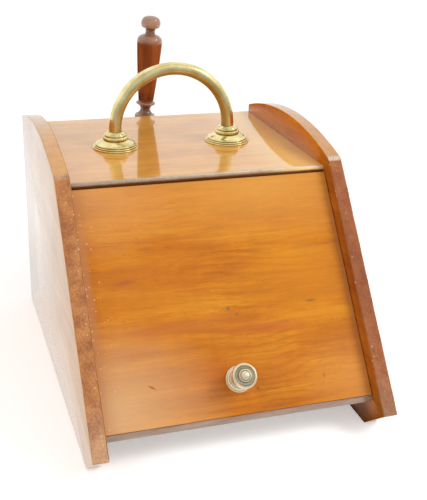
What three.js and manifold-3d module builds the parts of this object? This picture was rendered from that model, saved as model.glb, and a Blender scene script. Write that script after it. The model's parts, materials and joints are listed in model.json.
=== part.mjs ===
// A slope-front coal scuttle in polished mahogany. Two full-height side boards stand on the floor and
// carry the top, bottom and back boards. A flap between them swings out and up on hidden pivot pins,
// a brass arch on the top board is the carrying handle, a sheet-steel liner holds the coal, and the
// shovel hangs in a brass keeper on the back.
// Millimetres, +Z up. The flap faces -Y, and the origin is on the floor under the middle of the box
// that the whole object fills.
import * as THREE from "three";
import { mergeVertices } from "three/addons/utils/BufferGeometryUtils.js";
import Module from "manifold-3d";

// ---------------------------------------------------------------- driving dimensions

const fit = 0.3; // gap between a piece and the seat that is cut for it

// side boards
const overallWidth = 350;
const sideThickness = 18;
const sideDepth = 437; // along the floor, from the foot cut to the back
const rearHeight = 277;
const slopeAngle = 51; // degrees from the horizontal
const slopeEdge = 314; // the straight front edge
const footCut = 55; // the foot is cut square to the slope
const crownRise = 22; // of the arched top edge over its chord
const crownCorner = 1.5; // easing where the slope meets the crown
const arris = 1.2; // easing of the board edges

// top, bottom and back boards, housed in the sides
const topBoardHeight = 267; // of its upper face
const topBoardThickness = 12;
const noseFace = 4; // the part of the top board's front edge that runs on with the flap's face
const noseEase = 2.4; // of its upper arris, along each face
const bottomBoardHeight = 46;
const bottomBoardThickness = 9;
const backThickness = 9;
const housingDepth = 6;
const housingStop = 22; // the housings stop this far behind the front edges

// flap
const flapSetback = 15; // its face behind the side boards' front edges, square to the slope
const flapThickness = 12;
const flapSideGap = 1;
const flapTopGap = 3.5;
const flapTopRound = 3;
const pivotDrop = 8; // of the pins below the flap's top edge
const stopWidth = 8;
const stopDepth = 10;
const stopTopDrop = 22; // of the stop strips below the pins
const pinDiameter = 4;
const pinInSide = 12;
const pinInFlap = 13;
const bushWall = 1.4;

// flap knob
const knobHeight = 40; // its axis above the flap's lower edge, along the slope
const knobDiameter = 29;
const knobProjection = 30;
const knobNeckDiameter = 17;
const knobLipThickness = 8.6; // of its front disc
const knobButtonDiameter = 11;
const roseDiameter = 30.5;
const roseThickness = 4;
const knobBoltDiameter = 5;
const knobBoltEngagement = 11;
const knobNutAcross = 9;
const knobNutThickness = 4;
const knobWasherDiameter = 14;
const washerThickness = 1;

// carrying handle
const handleSpread = 150; // between the axes of its legs
const handleTube = 16;
const handleLeg = 23; // straight rise from the top board to the arch
const handleFromBack = 142.5;
const rosetteDiameter = 58;
const rosetteHeight = 21;
const rosetteRings = 3; // at its foot
const rosetteRingRise = 2;
const rosetteRingStep = 1.7; // each ring is this much smaller all round
const collarDiameter = 32;
const collarHeight = 4.4;
const lipThickness = 3;
const lipStep = 2; // the lip is this much smaller than the collar all round
const lipDrop = 2.6; // from the rosette's top to the lip's
const studDiameter = 8;
const studInTube = 26;
const studBelowTop = 11;
const handleNutAcross = 13;
const handleNutThickness = 6;
const handleWasherDiameter = 22;

// liner
const sheet = 1;
const linerSideGap = 2;
const linerBackGap = 3;
const linerSlopeGap = 6; // behind the flap, square to the slope
const linerHeadroom = 30; // from its rim to the top board's underside
const linerLipHeight = 32;
const linerWire = 4; // diameter of the wired rim

// glue blocks in the corners under the top and bottom boards
const blockLeg = 15;
const blockLength = 60;
const blockFromBack = 30;
const blockBehindPins = 28; // of the front pair under the top board
const blockBehindBand = 50; // of the front pair under the bottom board

// shovel
const shovelLean = 3.7; // degrees, top towards +X
const shovelBehindBack = 18; // from the back to the shovel's axis
const shovelShift = -10; // of its mouth from the middle
const panWidth = 104;
const panLength = 138;
const panDepth = 28;
const panMouthDepth = 12;
const panCorner = 10;
const panSheet = 1.2;
const panBelowAxis = 14; // from the axis to the pan's outer face
const shankLength = 40; // from the heel of the pan to the ferrule
const shankDiameter = 9;
const shankFoot = 22;
const shankTenon = 6;
const ferruleLength = 24;
const ferruleDiameter = 21;
const gripLength = 152;
const gripDiameter = 35.4;
const gripBallDiameter = 27.6;
const gripBallHeight = 16.4;
const gripFoot = 12;
const gripCove = 14;
const gripRing = 5;
const gripSwellDrop = 18.6; // from the ball down to the widest part of the taper
const gripTenonDiameter = 13;
const gripTenonLength = 12;

// shovel keeper and ledge on the back
const keeperInside = 116;
const keeperFlange = 22;
const keeperHeight = 20;
const keeperStrap = 2;
const keeperGap = 1.5; // from the pan's outer face to the strap
const keeperAboveLedge = 88;
const ledgeHeight = 49; // of its upper face
const ledgeWidth = 120;
const ledgeUpstand = 18;
const ledgeLip = 5;
const screwDiameter = 3.5;
const screwHeadDiameter = 8;
const screwHeadHeight = 2.4;
const screwInWood = 6.5;
const screwInset = 5; // from the keeper flange's upper and lower edges

// ---------------------------------------------------------------- finishes

const mahogany = { color: 0xa85c2c, roughness: 0.32, metalness: 0 };
const paleMahogany = { color: 0xcf8436, roughness: 0.28, metalness: 0 };
const darkMahogany = { color: 0x6e3018, roughness: 0.3, metalness: 0 };
const plainPine = { color: 0xb98a54, roughness: 0.8, metalness: 0 };
const polishedBrass = { color: 0xc9a650, roughness: 0.22, metalness: 1 };
const agedBrass = { color: 0x9c8a5c, roughness: 0.38, metalness: 1 };
const steel = { color: 0x8d8b86, roughness: 0.45, metalness: 1 };
const blackedSteel = { color: 0x242322, roughness: 0.6, metalness: 0.6 };

// ---------------------------------------------------------------- solids

const wasm = await Module();
wasm.setup();

const smooth = 32; // sides of a turned piece
const coarse = 12; // sides of a small pin, bore or screw
const crownSegments = 12; // a curve in an outline gets twice as many facets as it has segments
const overrun = 1; // how far a cutter passes the face that it cuts

// A closed geometry as a body that can be cut and joined.
function bodyOf(geometry) {
  const bare = geometry.clone();
  bare.deleteAttribute("normal");
  bare.deleteAttribute("uv");
  const welded = mergeVertices(bare, 1e-4);
  return new wasm.Manifold(
    new wasm.Mesh({
      numProp: 3,
      vertProperties: welded.attributes.position.array,
      triVerts: new Uint32Array(welded.index.array),
    }),
  );
}

// The geometry of a body, with flat facets.
function geometryOf(body) {
  const { numProp, vertProperties, triVerts } = body.getMesh();
  const corners = new Float32Array(triVerts.length * 3);
  triVerts.forEach((v, i) => corners.set(vertProperties.subarray(v * numProp, v * numProp + 3), i * 3));
  const geometry = new THREE.BufferGeometry();
  geometry.setAttribute("position", new THREE.BufferAttribute(corners, 3));
  geometry.computeVertexNormals();
  return geometry;
}

function cut(geometry, ...tools) {
  return geometryOf(tools.reduce((body, tool) => body.subtract(bodyOf(tool)), bodyOf(geometry)));
}

function join(geometry, ...others) {
  return geometryOf(others.reduce((body, other) => body.add(bodyOf(other)), bodyOf(geometry)));
}

// A box from its lowest to its highest corner.
function block([x0, y0, z0], [x1, y1, z1]) {
  return new THREE.BoxGeometry(x1 - x0, y1 - y0, z1 - z0).translate(
    (x0 + x1) / 2,
    (y0 + y1) / 2,
    (z0 + z1) / 2,
  );
}

// An outline in the Y-Z plane, extruded across X. The easing rounds its long edges inward.
const acrossX = new THREE.Matrix4().makeBasis(
  new THREE.Vector3(0, 1, 0),
  new THREE.Vector3(0, 0, 1),
  new THREE.Vector3(1, 0, 0),
);
function slab(outline, x0, x1, easing = 0, curveSegments = 3) {
  return new THREE.ExtrudeGeometry(outline, {
    depth: x1 - x0 - 2 * easing,
    bevelEnabled: easing > 0,
    bevelThickness: easing,
    bevelSize: easing,
    bevelOffset: -easing,
    bevelSegments: 1,
    curveSegments,
  })
    .translate(0, 0, x0 + easing)
    .applyMatrix4(acrossX);
}

// An outline in the X-Y plane, extruded up from z0 to z1.
function upright(outline, z0, z1) {
  const settings = { depth: z1 - z0, bevelEnabled: false, curveSegments: 3 };
  return new THREE.ExtrudeGeometry(outline, settings).translate(0, 0, z0);
}

// A shape through corner points.
function polygon(points) {
  return new THREE.Shape(points.map(([a, b]) => new THREE.Vector2(a, b)));
}

// A piece turned about Z, from a profile of [radius, height] points that runs upward.
function turned(profile, sides = smooth) {
  return new THREE.LatheGeometry(
    profile.map(([r, z]) => new THREE.Vector2(r, z)),
    sides,
  ).rotateX(Math.PI / 2);
}

// A turned ring: the outer profile runs upward and the bore closes it.
function ring(profile, bore, sides = smooth) {
  const low = profile[0][1];
  const high = profile[profile.length - 1][1];
  return turned([[bore, low], ...profile, [bore, high], [bore, low]], sides);
}

function rod(radius, z0, z1, sides = coarse) {
  return turned(
    [
      [0, z0],
      [radius, z0],
      [radius, z1],
      [0, z1],
    ],
    sides,
  );
}

// Parts of a turned profile. A bead is half round, out to a radius, between two heights.
function bead(radius, low, high, count = 3) {
  const half = (high - low) / 2;
  return Array.from({ length: count + 1 }, (_, i) => {
    const a = Math.PI * (i / count - 0.5);
    return [radius - half + half * Math.cos(a), low + half + half * Math.sin(a)];
  });
}

// A sweep is one smooth curve that leaves and arrives in the direction of its control point.
function sweep(from, control, to, count = 3) {
  const [a, b, c] = [from, control, to].map(([r, z]) => new THREE.Vector2(r, z));
  return new THREE.QuadraticBezierCurve(a, b, c).getPoints(count).map(({ x, y }) => [x, y]);
}

// A hexagon nut with a bore, from z0 to z1.
function hexNut(across, bore, z0, z1) {
  const outer = rod(across / 2 / Math.cos(Math.PI / 6), z0, z1, 6);
  return cut(outer, rod(bore / 2, z0 - overrun, z1 + overrun));
}

function flatWasher(diameter, bore, z0) {
  return ring(
    [
      [diameter / 2, z0],
      [diameter / 2, z0 + washerThickness],
    ],
    bore / 2,
    coarse,
  );
}

function add(parent, name, geometry, finish) {
  const mesh = new THREE.Mesh(geometry, new THREE.MeshStandardMaterial(finish));
  mesh.name = name;
  parent.add(mesh);
  return mesh;
}

// ---------------------------------------------------------------- lines that the pieces share
// Points are [y, z] with y = 0 where the foot cut meets the floor.

const slope = THREE.MathUtils.degToRad(slopeAngle);
const along = [Math.cos(slope), Math.sin(slope)]; // up the slope
const inward = [Math.sin(slope), -Math.cos(slope)]; // square to it, into the box
const step = ([y, z], up, into) => [
  y + along[0] * up + inward[0] * into,
  z + along[1] * up + inward[1] * into,
];

const halfWidth = overallWidth / 2;
const innerHalf = halfWidth - sideThickness;
const toe = step([0, 0], 0, -footCut);
const frontTop = step(toe, slopeEdge, 0);
const rearTop = [sideDepth, rearHeight];

const faceFoot = step(toe, 0, flapSetback);
const faceAt = (z) => faceFoot[0] + ((z - faceFoot[1]) * along[0]) / along[1];

const topBoardUnder = topBoardHeight - topBoardThickness;
const bottomBoardUnder = bottomBoardHeight - bottomBoardThickness;
const backInner = sideDepth - backThickness;
const topFront = faceAt(topBoardHeight);
const noseTip = step([topFront, topBoardHeight], -noseFace, 0);
const undercut = (noseTip[1] - topBoardUnder) / -inward[1];
const underFront = noseTip[0] + inward[0] * undercut;

const pivotIn = flapThickness / 2;
const pivot = step(noseTip, -flapTopGap - pivotDrop, pivotIn);

const scuttle = new THREE.Group();

// ---------------------------------------------------------------- side boards

function sideOutline() {
  const chord = Math.hypot(rearTop[0] - frontTop[0], rearTop[1] - frontTop[1]);
  const radius = (chord * chord) / (8 * crownRise) + crownRise / 2;
  const tilt = Math.atan2(rearTop[1] - frontTop[1], rearTop[0] - frontTop[0]);
  const sink = radius - crownRise;
  const centre = [
    (frontTop[0] + rearTop[0]) / 2 + Math.sin(tilt) * sink,
    (frontTop[1] + rearTop[1]) / 2 - Math.cos(tilt) * sink,
  ];
  const angleOf = ([y, z]) => Math.atan2(z - centre[1], y - centre[0]);
  const crownStart = angleOf(frontTop) - crownCorner / radius;
  const edgeEnd = step(frontTop, -crownCorner, 0);
  const outline = new THREE.Shape();
  outline.moveTo(0, 0);
  outline.lineTo(sideDepth, 0);
  outline.lineTo(...rearTop);
  outline.absarc(...centre, radius, angleOf(rearTop), crownStart, false);
  outline.quadraticCurveTo(...frontTop, ...edgeEnd);
  outline.lineTo(...toe);
  return outline;
}

const housings = {
  top: [
    [topFront + housingStop, topBoardUnder],
    [sideDepth, topBoardHeight],
  ],
  bottom: [
    [faceAt(bottomBoardHeight) + housingStop, bottomBoardUnder],
    [backInner, bottomBoardHeight],
  ],
  back: [
    [backInner, bottomBoardUnder],
    [sideDepth, topBoardUnder],
  ],
};

function sideBoard(side) {
  const inner = side * innerHalf;
  const outer = side * halfWidth;
  const floor = side * (innerHalf + housingDepth);
  const open = side * (innerHalf - overrun);
  const board = slab(sideOutline(), Math.min(inner, outer), Math.max(inner, outer), arris, crownSegments);
  const grooves = Object.entries(housings).map(([name, [[y0, z0], [y1, z1]]]) => {
    const rear = name === "bottom" ? y1 + fit : y1 + overrun;
    return block([Math.min(floor, open), y0 - fit, z0 - fit], [Math.max(floor, open), rear, z1 + fit]);
  });
  const pinHole = rod(pinDiameter / 2 + fit, -overrun, pinInSide + fit)
    .rotateY((side * Math.PI) / 2)
    .translate(inner, ...pivot);
  return cut(board, ...grooves, pinHole);
}

for (const [name, side] of [
  ["side_board_left", -1],
  ["side_board_right", 1],
]) {
  add(scuttle, name, sideBoard(side), mahogany);
}

// ---------------------------------------------------------------- top, bottom and back boards

// The tongue that a board pushes into the housing of each side.
function tongue([[y0, z0], [y1, z1]]) {
  const reach = innerHalf + housingDepth - fit;
  return block([-reach, y0, z0], [reach, y1, z1]);
}

const shoulder = innerHalf - fit;
const handleY = sideDepth - handleFromBack;
const legs = [-handleSpread / 2, handleSpread / 2];

const topOutline = new THREE.Shape();
topOutline.moveTo(sideDepth, topBoardUnder);
topOutline.lineTo(sideDepth, topBoardHeight);
topOutline.lineTo(topFront + noseEase, topBoardHeight);
topOutline.quadraticCurveTo(topFront, topBoardHeight, ...step([topFront, topBoardHeight], -noseEase, 0));
topOutline.lineTo(...noseTip);
topOutline.lineTo(underFront, topBoardUnder);
const studHoles = legs.map((x) =>
  rod(studDiameter / 2 + fit, topBoardUnder - overrun, topBoardHeight + overrun).translate(x, handleY, 0),
);
add(
  scuttle,
  "top_board",
  cut(join(slab(topOutline, -shoulder, shoulder, arris / 2), tongue(housings.top)), ...studHoles),
  paleMahogany,
);

// The front edge of the bottom board is the band that shows below the flap, with a round lower arris.
const bandFront = faceAt(bottomBoardHeight + fit);
const bandRound = bottomBoardThickness / 3;
const bottomOutline = new THREE.Shape();
bottomOutline.moveTo(backInner - fit, bottomBoardUnder);
bottomOutline.lineTo(backInner - fit, bottomBoardHeight);
bottomOutline.lineTo(bandFront, bottomBoardHeight);
bottomOutline.lineTo(bandFront, bottomBoardUnder + bandRound);
bottomOutline.absarc(
  bandFront + bandRound,
  bottomBoardUnder + bandRound,
  bandRound,
  Math.PI,
  1.5 * Math.PI,
  false,
);
const [[bottomTongueFront, bottomTongueLow], [, bottomTongueHigh]] = housings.bottom;
add(
  scuttle,
  "bottom_board",
  join(
    slab(bottomOutline, -shoulder, shoulder),
    tongue([
      [bottomTongueFront, bottomTongueLow],
      [backInner - fit, bottomTongueHigh],
    ]),
  ),
  mahogany,
);

// ---------------------------------------------------------------- shovel keeper and ledge, on the back

const lean = THREE.MathUtils.degToRad(shovelLean);
const shovelY = sideDepth + shovelBehindBack;
const keeperInner = shovelY + panBelowAxis + keeperGap;
const keeperOuter = keeperInner + keeperStrap;
const keeperLow = ledgeHeight + keeperAboveLedge;
const keeperHigh = keeperLow + keeperHeight;
const keeperHalf = keeperInside / 2;

const screws = [];
for (const [name, x] of [
  ["left", -keeperHalf - keeperFlange / 2 - keeperStrap / 2],
  ["right", keeperHalf + keeperFlange / 2 + keeperStrap / 2],
]) {
  screws.push([`keeper_screw_${name}_lower`, x, keeperLow + screwInset]);
  screws.push([`keeper_screw_${name}_upper`, x, keeperHigh - screwInset]);
}
for (const [name, x] of [
  ["left", -ledgeWidth / 4],
  ["right", ledgeWidth / 4],
]) {
  screws.push([`ledge_screw_${name}`, x, ledgeHeight + ledgeUpstand / 2]);
}
const screwHoles = screws.map(([, x, z]) =>
  rod(screwDiameter / 2 + fit, -screwInWood - fit, keeperStrap + overrun)
    .rotateX(-Math.PI / 2)
    .translate(x, sideDepth, z),
);

const backReach = innerHalf + housingDepth - fit;
add(
  scuttle,
  "back_board",
  cut(
    block([-backReach, backInner, bottomBoardUnder], [backReach, sideDepth, topBoardUnder - fit]),
    ...screwHoles,
  ),
  mahogany,
);

function keeperOutline() {
  const flangeEnd = keeperHalf + keeperStrap + keeperFlange;
  const halfOutline = [
    [flangeEnd, sideDepth],
    [flangeEnd, sideDepth + keeperStrap],
    [keeperHalf + keeperStrap, sideDepth + keeperStrap],
    [keeperHalf + keeperStrap, keeperOuter],
  ];
  const insideHalf = [
    [keeperHalf, keeperInner],
    [keeperHalf, sideDepth],
  ];
  const mirror = (points) => points.map(([x, y]) => [-x, y]).reverse();
  return polygon([...halfOutline, ...mirror(halfOutline), ...mirror(insideHalf), ...insideHalf]);
}
const keeperStrip = upright(keeperOutline(), keeperLow, keeperHigh);
add(scuttle, "shovel_keeper", cut(keeperStrip, ...screwHoles), polishedBrass);

const ledgeOutline = polygon([
  [sideDepth, ledgeHeight - keeperStrap],
  [keeperOuter, ledgeHeight - keeperStrap],
  [keeperOuter, ledgeHeight + ledgeLip],
  [keeperInner, ledgeHeight + ledgeLip],
  [keeperInner, ledgeHeight],
  [sideDepth + keeperStrap, ledgeHeight],
  [sideDepth + keeperStrap, ledgeHeight + ledgeUpstand],
  [sideDepth, ledgeHeight + ledgeUpstand],
]);
add(
  scuttle,
  "shovel_ledge",
  cut(slab(ledgeOutline, -ledgeWidth / 2, ledgeWidth / 2), ...screwHoles),
  polishedBrass,
);

// Round-headed brass screws, each seated on the metal that it holds.
const screwProfile = [
  [0, -screwInWood],
  [screwDiameter / 2, -screwInWood + screwDiameter / 2],
  [screwDiameter / 2, keeperStrap],
  [screwHeadDiameter / 2, keeperStrap],
  [screwHeadDiameter / 2.3, keeperStrap + screwHeadHeight * 0.6],
  [screwHeadDiameter / 4, keeperStrap + screwHeadHeight * 0.95],
  [0, keeperStrap + screwHeadHeight],
];
for (const [name, x, z] of screws) {
  const screw = turned(screwProfile, coarse)
    .rotateX(-Math.PI / 2)
    .translate(x, sideDepth, z);
  add(scuttle, name, screw, polishedBrass);
}

// ---------------------------------------------------------------- glue blocks

// Three-cornered blocks rubbed into the corners between the side boards and the boards above or below.
const blockRear = backInner - blockFromBack - blockLength;
const blockRows = [
  ["top", topBoardUnder, pivot[0] + blockBehindPins],
  ["bottom", bottomBoardUnder, bandFront + blockBehindBand],
];
for (const [boardName, z, blockFront] of blockRows) {
  for (const [placeName, y] of [
    ["rear", blockRear],
    ["front", blockFront],
  ]) {
    for (const [sideName, side] of [
      ["left", -1],
      ["right", 1],
    ]) {
      const corner = side * innerHalf;
      const outline = polygon([
        [corner, z],
        [corner - side * blockLeg, z],
        [corner, z - blockLeg],
      ]);
      const glueBlock = new THREE.ExtrudeGeometry(outline, { depth: blockLength, bevelEnabled: false })
        .rotateX(Math.PI / 2)
        .translate(0, y + blockLength, 0);
      add(scuttle, `${boardName}_block_${sideName}_${placeName}`, glueBlock, plainPine);
    }
  }
}

// ---------------------------------------------------------------- carrying handle

// Up one leg, round a half circle and down the other, at even speed.
class ArchPath extends THREE.Curve {
  getPoint(t, point = new THREE.Vector3()) {
    const radius = handleSpread / 2;
    const leg = handleLeg - fit;
    const whole = 2 * leg + Math.PI * radius;
    const run = t * whole;
    if (run < leg) return point.set(-radius, 0, run - leg);
    if (run > whole - leg) return point.set(radius, 0, whole - leg - run);
    const angle = (run - leg) / radius;
    return point.set(-radius * Math.cos(angle), 0, radius * Math.sin(angle));
  }
}

const tubeSection = new THREE.Shape().absarc(0, 0, handleTube / 2, 0, 2 * Math.PI, false);
const archTube = new THREE.ExtrudeGeometry(tubeSection, {
  steps: 36,
  curveSegments: 8,
  extrudePath: new ArchPath(),
}).translate(0, handleY, topBoardHeight + handleLeg);
const studTop = topBoardHeight + studInTube;
const studBores = legs.map((x) =>
  rod(studDiameter / 2 + fit, topBoardHeight - overrun, studTop + fit).translate(x, handleY, 0),
);
add(scuttle, "handle_arch", cut(archTube, ...studBores), polishedBrass);

// A bell: stepped rings, a hollow flank, and a rounded collar under a lip that the tube rises from.
const rosetteRadius = rosetteDiameter / 2;
const collarRadius = collarDiameter / 2;
const lipRadius = handleTube / 2 + 1;
const ringsTop = rosetteRings * rosetteRingRise;
const lipHigh = rosetteHeight - lipDrop;
const collarHigh = lipHigh - lipThickness;
const collarLow = collarHigh - collarHeight;
const rosetteProfile = [
  ...Array.from({ length: rosetteRings }, (_, i) =>
    bead(rosetteRadius - i * rosetteRingStep, i * rosetteRingRise, (i + 1) * rosetteRingRise),
  ).flat(),
  ...sweep(
    [rosetteRadius - rosetteRings * rosetteRingStep, ringsTop],
    [collarRadius + 1.4, ringsTop + 1.6],
    [collarRadius - 1.4, collarLow],
  ),
  ...bead(collarRadius, collarLow, collarHigh, 4),
  ...bead(collarRadius - lipStep, collarHigh, lipHigh),
  [lipRadius + 1.6, rosetteHeight - 0.6],
  [lipRadius, rosetteHeight],
];
const rosetteShape = ring(rosetteProfile, handleTube / 2 + fit);
const handleWasherTop = topBoardUnder;
const handleNutTop = handleWasherTop - washerThickness;
for (const [i, side] of ["left", "right"].entries()) {
  const foot = new THREE.Group();
  foot.position.set(legs[i], handleY, 0);
  scuttle.add(foot);
  const rosette = add(foot, `handle_rosette_${side}`, rosetteShape, polishedBrass);
  rosette.position.z = topBoardHeight;
  add(
    foot,
    `handle_stud_${side}`,
    rod(studDiameter / 2, topBoardUnder - studBelowTop, studTop),
    polishedBrass,
  );
  add(
    foot,
    `handle_washer_${side}`,
    flatWasher(handleWasherDiameter, studDiameter + 2 * fit, handleWasherTop - washerThickness),
    polishedBrass,
  );
  add(
    foot,
    `handle_nut_${side}`,
    hexNut(handleNutAcross, studDiameter + 2 * fit, handleNutTop - handleNutThickness, handleNutTop),
    polishedBrass,
  );
}

// ---------------------------------------------------------------- flap, in its own frame
// Its origin is on the pivot line, local Z runs up the slope and local Y goes into the box.

const front = new THREE.Group();
front.position.set(0, ...pivot);
front.rotation.x = slope - Math.PI / 2;
scuttle.add(front);

// Where a level plane at height z meets the local line at a given local y.
const levelAt = (z, y) => (z - pivot[1] + y * along[0]) / along[1];

const flapHalf = innerHalf - flapSideGap;
const flapFace = -pivotIn;
const flapInner = flapThickness - pivotIn;
const flapFoot = bottomBoardHeight + fit;
const flapFootFace = levelAt(flapFoot, flapFace);
const flapOutline = new THREE.Shape();
flapOutline.moveTo(flapFace, flapFootFace);
flapOutline.lineTo(flapInner, levelAt(flapFoot, flapInner));
flapOutline.lineTo(flapInner, pivotDrop);
flapOutline.lineTo(flapFace + flapTopRound, pivotDrop);
flapOutline.absarc(
  flapFace + flapTopRound,
  pivotDrop - flapTopRound,
  flapTopRound,
  0.5 * Math.PI,
  Math.PI,
  false,
);

const bushRadius = pinDiameter / 2 + fit + bushWall;
const knobZ = flapFootFace + knobHeight;
const bushSeats = [-1, 1].map((side) =>
  rod(bushRadius + fit, -overrun, pinInFlap + fit)
    .rotateY((-side * Math.PI) / 2)
    .translate(side * flapHalf, 0, 0),
);
const knobHole = rod(knobBoltDiameter / 2 + fit, -flapThickness - overrun, overrun)
  .rotateX(Math.PI / 2)
  .translate(0, flapFace, knobZ);
add(
  front,
  "front_flap",
  cut(slab(flapOutline, -flapHalf, flapHalf, arris / 2), ...bushSeats, knobHole),
  paleMahogany,
);

for (const [name, side] of [
  ["left", -1],
  ["right", 1],
]) {
  const bush = ring(
    [
      [bushRadius, 0],
      [bushRadius, pinInFlap],
    ],
    pinDiameter / 2 + fit,
    coarse,
  )
    .rotateY((-side * Math.PI) / 2)
    .translate(side * flapHalf, 0, 0);
  add(front, `pivot_bush_${name}`, bush, polishedBrass);
  const pin = rod(pinDiameter / 2, -(pinInFlap + flapSideGap - 1), pinInSide)
    .rotateY((side * Math.PI) / 2)
    .translate(side * innerHalf, 0, 0);
  add(front, `pivot_pin_${name}`, pin, steel);
  const stopFace = flapInner + fit;
  const stopOutline = polygon([
    [stopFace, levelAt(bottomBoardHeight + fit, stopFace)],
    [stopFace + stopDepth, levelAt(bottomBoardHeight + fit, stopFace + stopDepth)],
    [stopFace + stopDepth, -stopTopDrop],
    [stopFace, -stopTopDrop],
  ]);
  const [near, far] = [side * innerHalf, side * (innerHalf - stopWidth)];
  add(front, `flap_stop_${name}`, slab(stopOutline, Math.min(near, far), Math.max(near, far)), mahogany);
}

// ---------------------------------------------------------------- flap knob, turned about local Z

const knob = new THREE.Group();
knob.position.set(0, flapFace, knobZ);
knob.rotation.x = Math.PI / 2;
front.add(knob);

const roseRadius = roseDiameter / 2;
const roseStep = roseThickness / 2;
const roseProfile = [
  ...bead(roseRadius, fit, roseStep),
  ...sweep([roseRadius - 1.6, roseStep], [roseRadius - 3, roseStep], [roseRadius - 4, roseThickness], 2),
];
add(knob, "knob_rose", ring(roseProfile, knobBoltDiameter / 2 + fit), agedBrass);

const knobRadius = knobDiameter / 2;
const neckRadius = knobNeckDiameter / 2;
const knobButtonRadius = knobButtonDiameter / 2;
const knobBase = roseThickness + fit;
const knobLip = knobProjection - knobLipThickness;
const waist = (knobBase + knobLip) / 2;
const boltDepth = knobBase + knobBoltEngagement;
const knobProfile = [
  [0, knobBase],
  ...sweep([roseRadius - 4.4, knobBase], [neckRadius, knobBase + 0.6], [neckRadius, waist]),
  ...sweep([neckRadius, waist], [neckRadius + 0.4, knobLip - 1], [knobRadius - 2.2, knobLip]).slice(1),
  ...bead(knobRadius, knobLip, knobProjection - 3.4, 5),
  ...bead(knobRadius - 5.4, knobProjection - 5.6, knobProjection - 2.4, 4),
  ...sweep([knobButtonRadius, knobProjection - 4], [knobButtonRadius, knobProjection], [0, knobProjection]),
];
const boltSeat = rod(knobBoltDiameter / 2 + fit, knobBase - overrun, boltDepth + fit);
add(knob, "flap_knob", cut(turned(knobProfile), boltSeat), agedBrass);

const knobWasherTop = -flapThickness - fit;
const knobNutTop = knobWasherTop - washerThickness - fit;
const knobNutLow = knobNutTop - knobNutThickness;
add(knob, "knob_bolt", rod(knobBoltDiameter / 2, knobNutLow - 1.5, boltDepth), agedBrass);
add(
  knob,
  "knob_washer",
  flatWasher(knobWasherDiameter, knobBoltDiameter + 2 * fit, knobWasherTop - washerThickness),
  agedBrass,
);
add(knob, "knob_nut", hexNut(knobNutAcross, knobBoltDiameter + 2 * fit, knobNutLow, knobNutTop), agedBrass);

// ---------------------------------------------------------------- liner

const linerHalf = innerHalf - stopWidth - linerSideGap;
const linerRear = backInner - linerBackGap;
const linerLow = bottomBoardHeight;
const linerTop = topBoardUnder - linerHeadroom;
const lipTop = linerLow + linerLipHeight;
const linerSlope = (z) => faceAt(z) + (flapThickness + linerSlopeGap) / along[1];
const linerFront = linerSlope(lipTop);
const wireRadius = linerWire / 2;
const wireSides = 10;

add(
  scuttle,
  "liner_floor",
  block([-linerHalf, linerFront, linerLow], [linerHalf, linerRear, linerLow + sheet]),
  blackedSteel,
);

// A wall across the liner, with its upper edge rolled over a wire.
function crossWall(y0, top) {
  const wall = block([-linerHalf, y0, linerLow + sheet], [linerHalf, y0 + sheet, top]);
  const wire = rod(wireRadius, -linerHalf + linerWire, linerHalf - linerWire, wireSides)
    .rotateY(Math.PI / 2)
    .translate(0, y0 + sheet / 2, top);
  return join(wall, wire);
}
add(scuttle, "liner_back", crossWall(linerRear - sheet, linerTop), blackedSteel);
add(scuttle, "liner_lip", crossWall(linerFront, lipTop), blackedSteel);

// A side sheet follows the flap at the front, and a wire is rolled into its sloping and level edges.
const linerInnerRear = linerRear - sheet - fit;
const linerInnerFront = linerFront + sheet + fit;
const sideCorner = [linerSlope(linerTop), linerTop];
const sideLowEdge = [linerInnerFront, lipTop + ((linerInnerFront - linerFront) * along[1]) / along[0]];
const linerSideOutline = polygon([
  [linerInnerFront, linerLow + sheet + fit],
  [linerInnerRear, linerLow + sheet + fit],
  [linerInnerRear, linerTop],
  sideCorner,
  sideLowEdge,
]);
function wireBetween([y0, z0], [y1, z1]) {
  const length = Math.hypot(y1 - y0, z1 - z0);
  return rod(wireRadius, 0, length, wireSides)
    .rotateX(Math.atan2(y0 - y1, z1 - z0))
    .translate(0, y0, z0);
}
const wireRear = [linerInnerRear - linerWire, linerTop];
const wireLow = [sideLowEdge[0] + along[0] * linerWire, sideLowEdge[1] + along[1] * linerWire];
for (const [name, side] of [
  ["liner_side_left", -1],
  ["liner_side_right", 1],
]) {
  const [outer, inner] = [side * linerHalf, side * (linerHalf - sheet)];
  const rim = join(
    wireBetween(wireLow, sideCorner),
    wireBetween(sideCorner, wireRear),
    new THREE.SphereGeometry(wireRadius, wireSides, wireSides / 2).translate(0, ...sideCorner),
  ).translate(side * (linerHalf - sheet / 2), 0, 0);
  add(
    scuttle,
    name,
    join(slab(linerSideOutline, Math.min(outer, inner), Math.max(outer, inner)), rim),
    blackedSteel,
  );
}

// ---------------------------------------------------------------- shovel, in its own leaning frame
// Its origin is the middle of the pan's mouth on the axis, local Z runs up the axis, local Y to the rear.

const cornerDrop = (panWidth / 2 - panCorner) * Math.sin(lean) + panCorner * (1 - Math.cos(lean));
const shovel = new THREE.Group();
shovel.position.set(shovelShift, shovelY, ledgeHeight + fit + cornerDrop);
shovel.rotation.y = lean;
scuttle.add(shovel);

// The pan's section, open towards -Y, at a given distance inside the outer face.
function panSection(inset) {
  const half = panWidth / 2 - inset;
  const floorY = panBelowAxis - inset;
  const rimY = panBelowAxis - panDepth - inset;
  const radius = panCorner - inset;
  const section = new THREE.Shape();
  section.moveTo(-half, rimY);
  section.lineTo(half, rimY);
  section.lineTo(half, floorY - radius);
  section.absarc(half - radius, floorY - radius, radius, 0, 0.5 * Math.PI, false);
  section.lineTo(-half + radius, floorY);
  section.absarc(-half + radius, floorY - radius, radius, 0.5 * Math.PI, Math.PI, false);
  return section;
}

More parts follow.
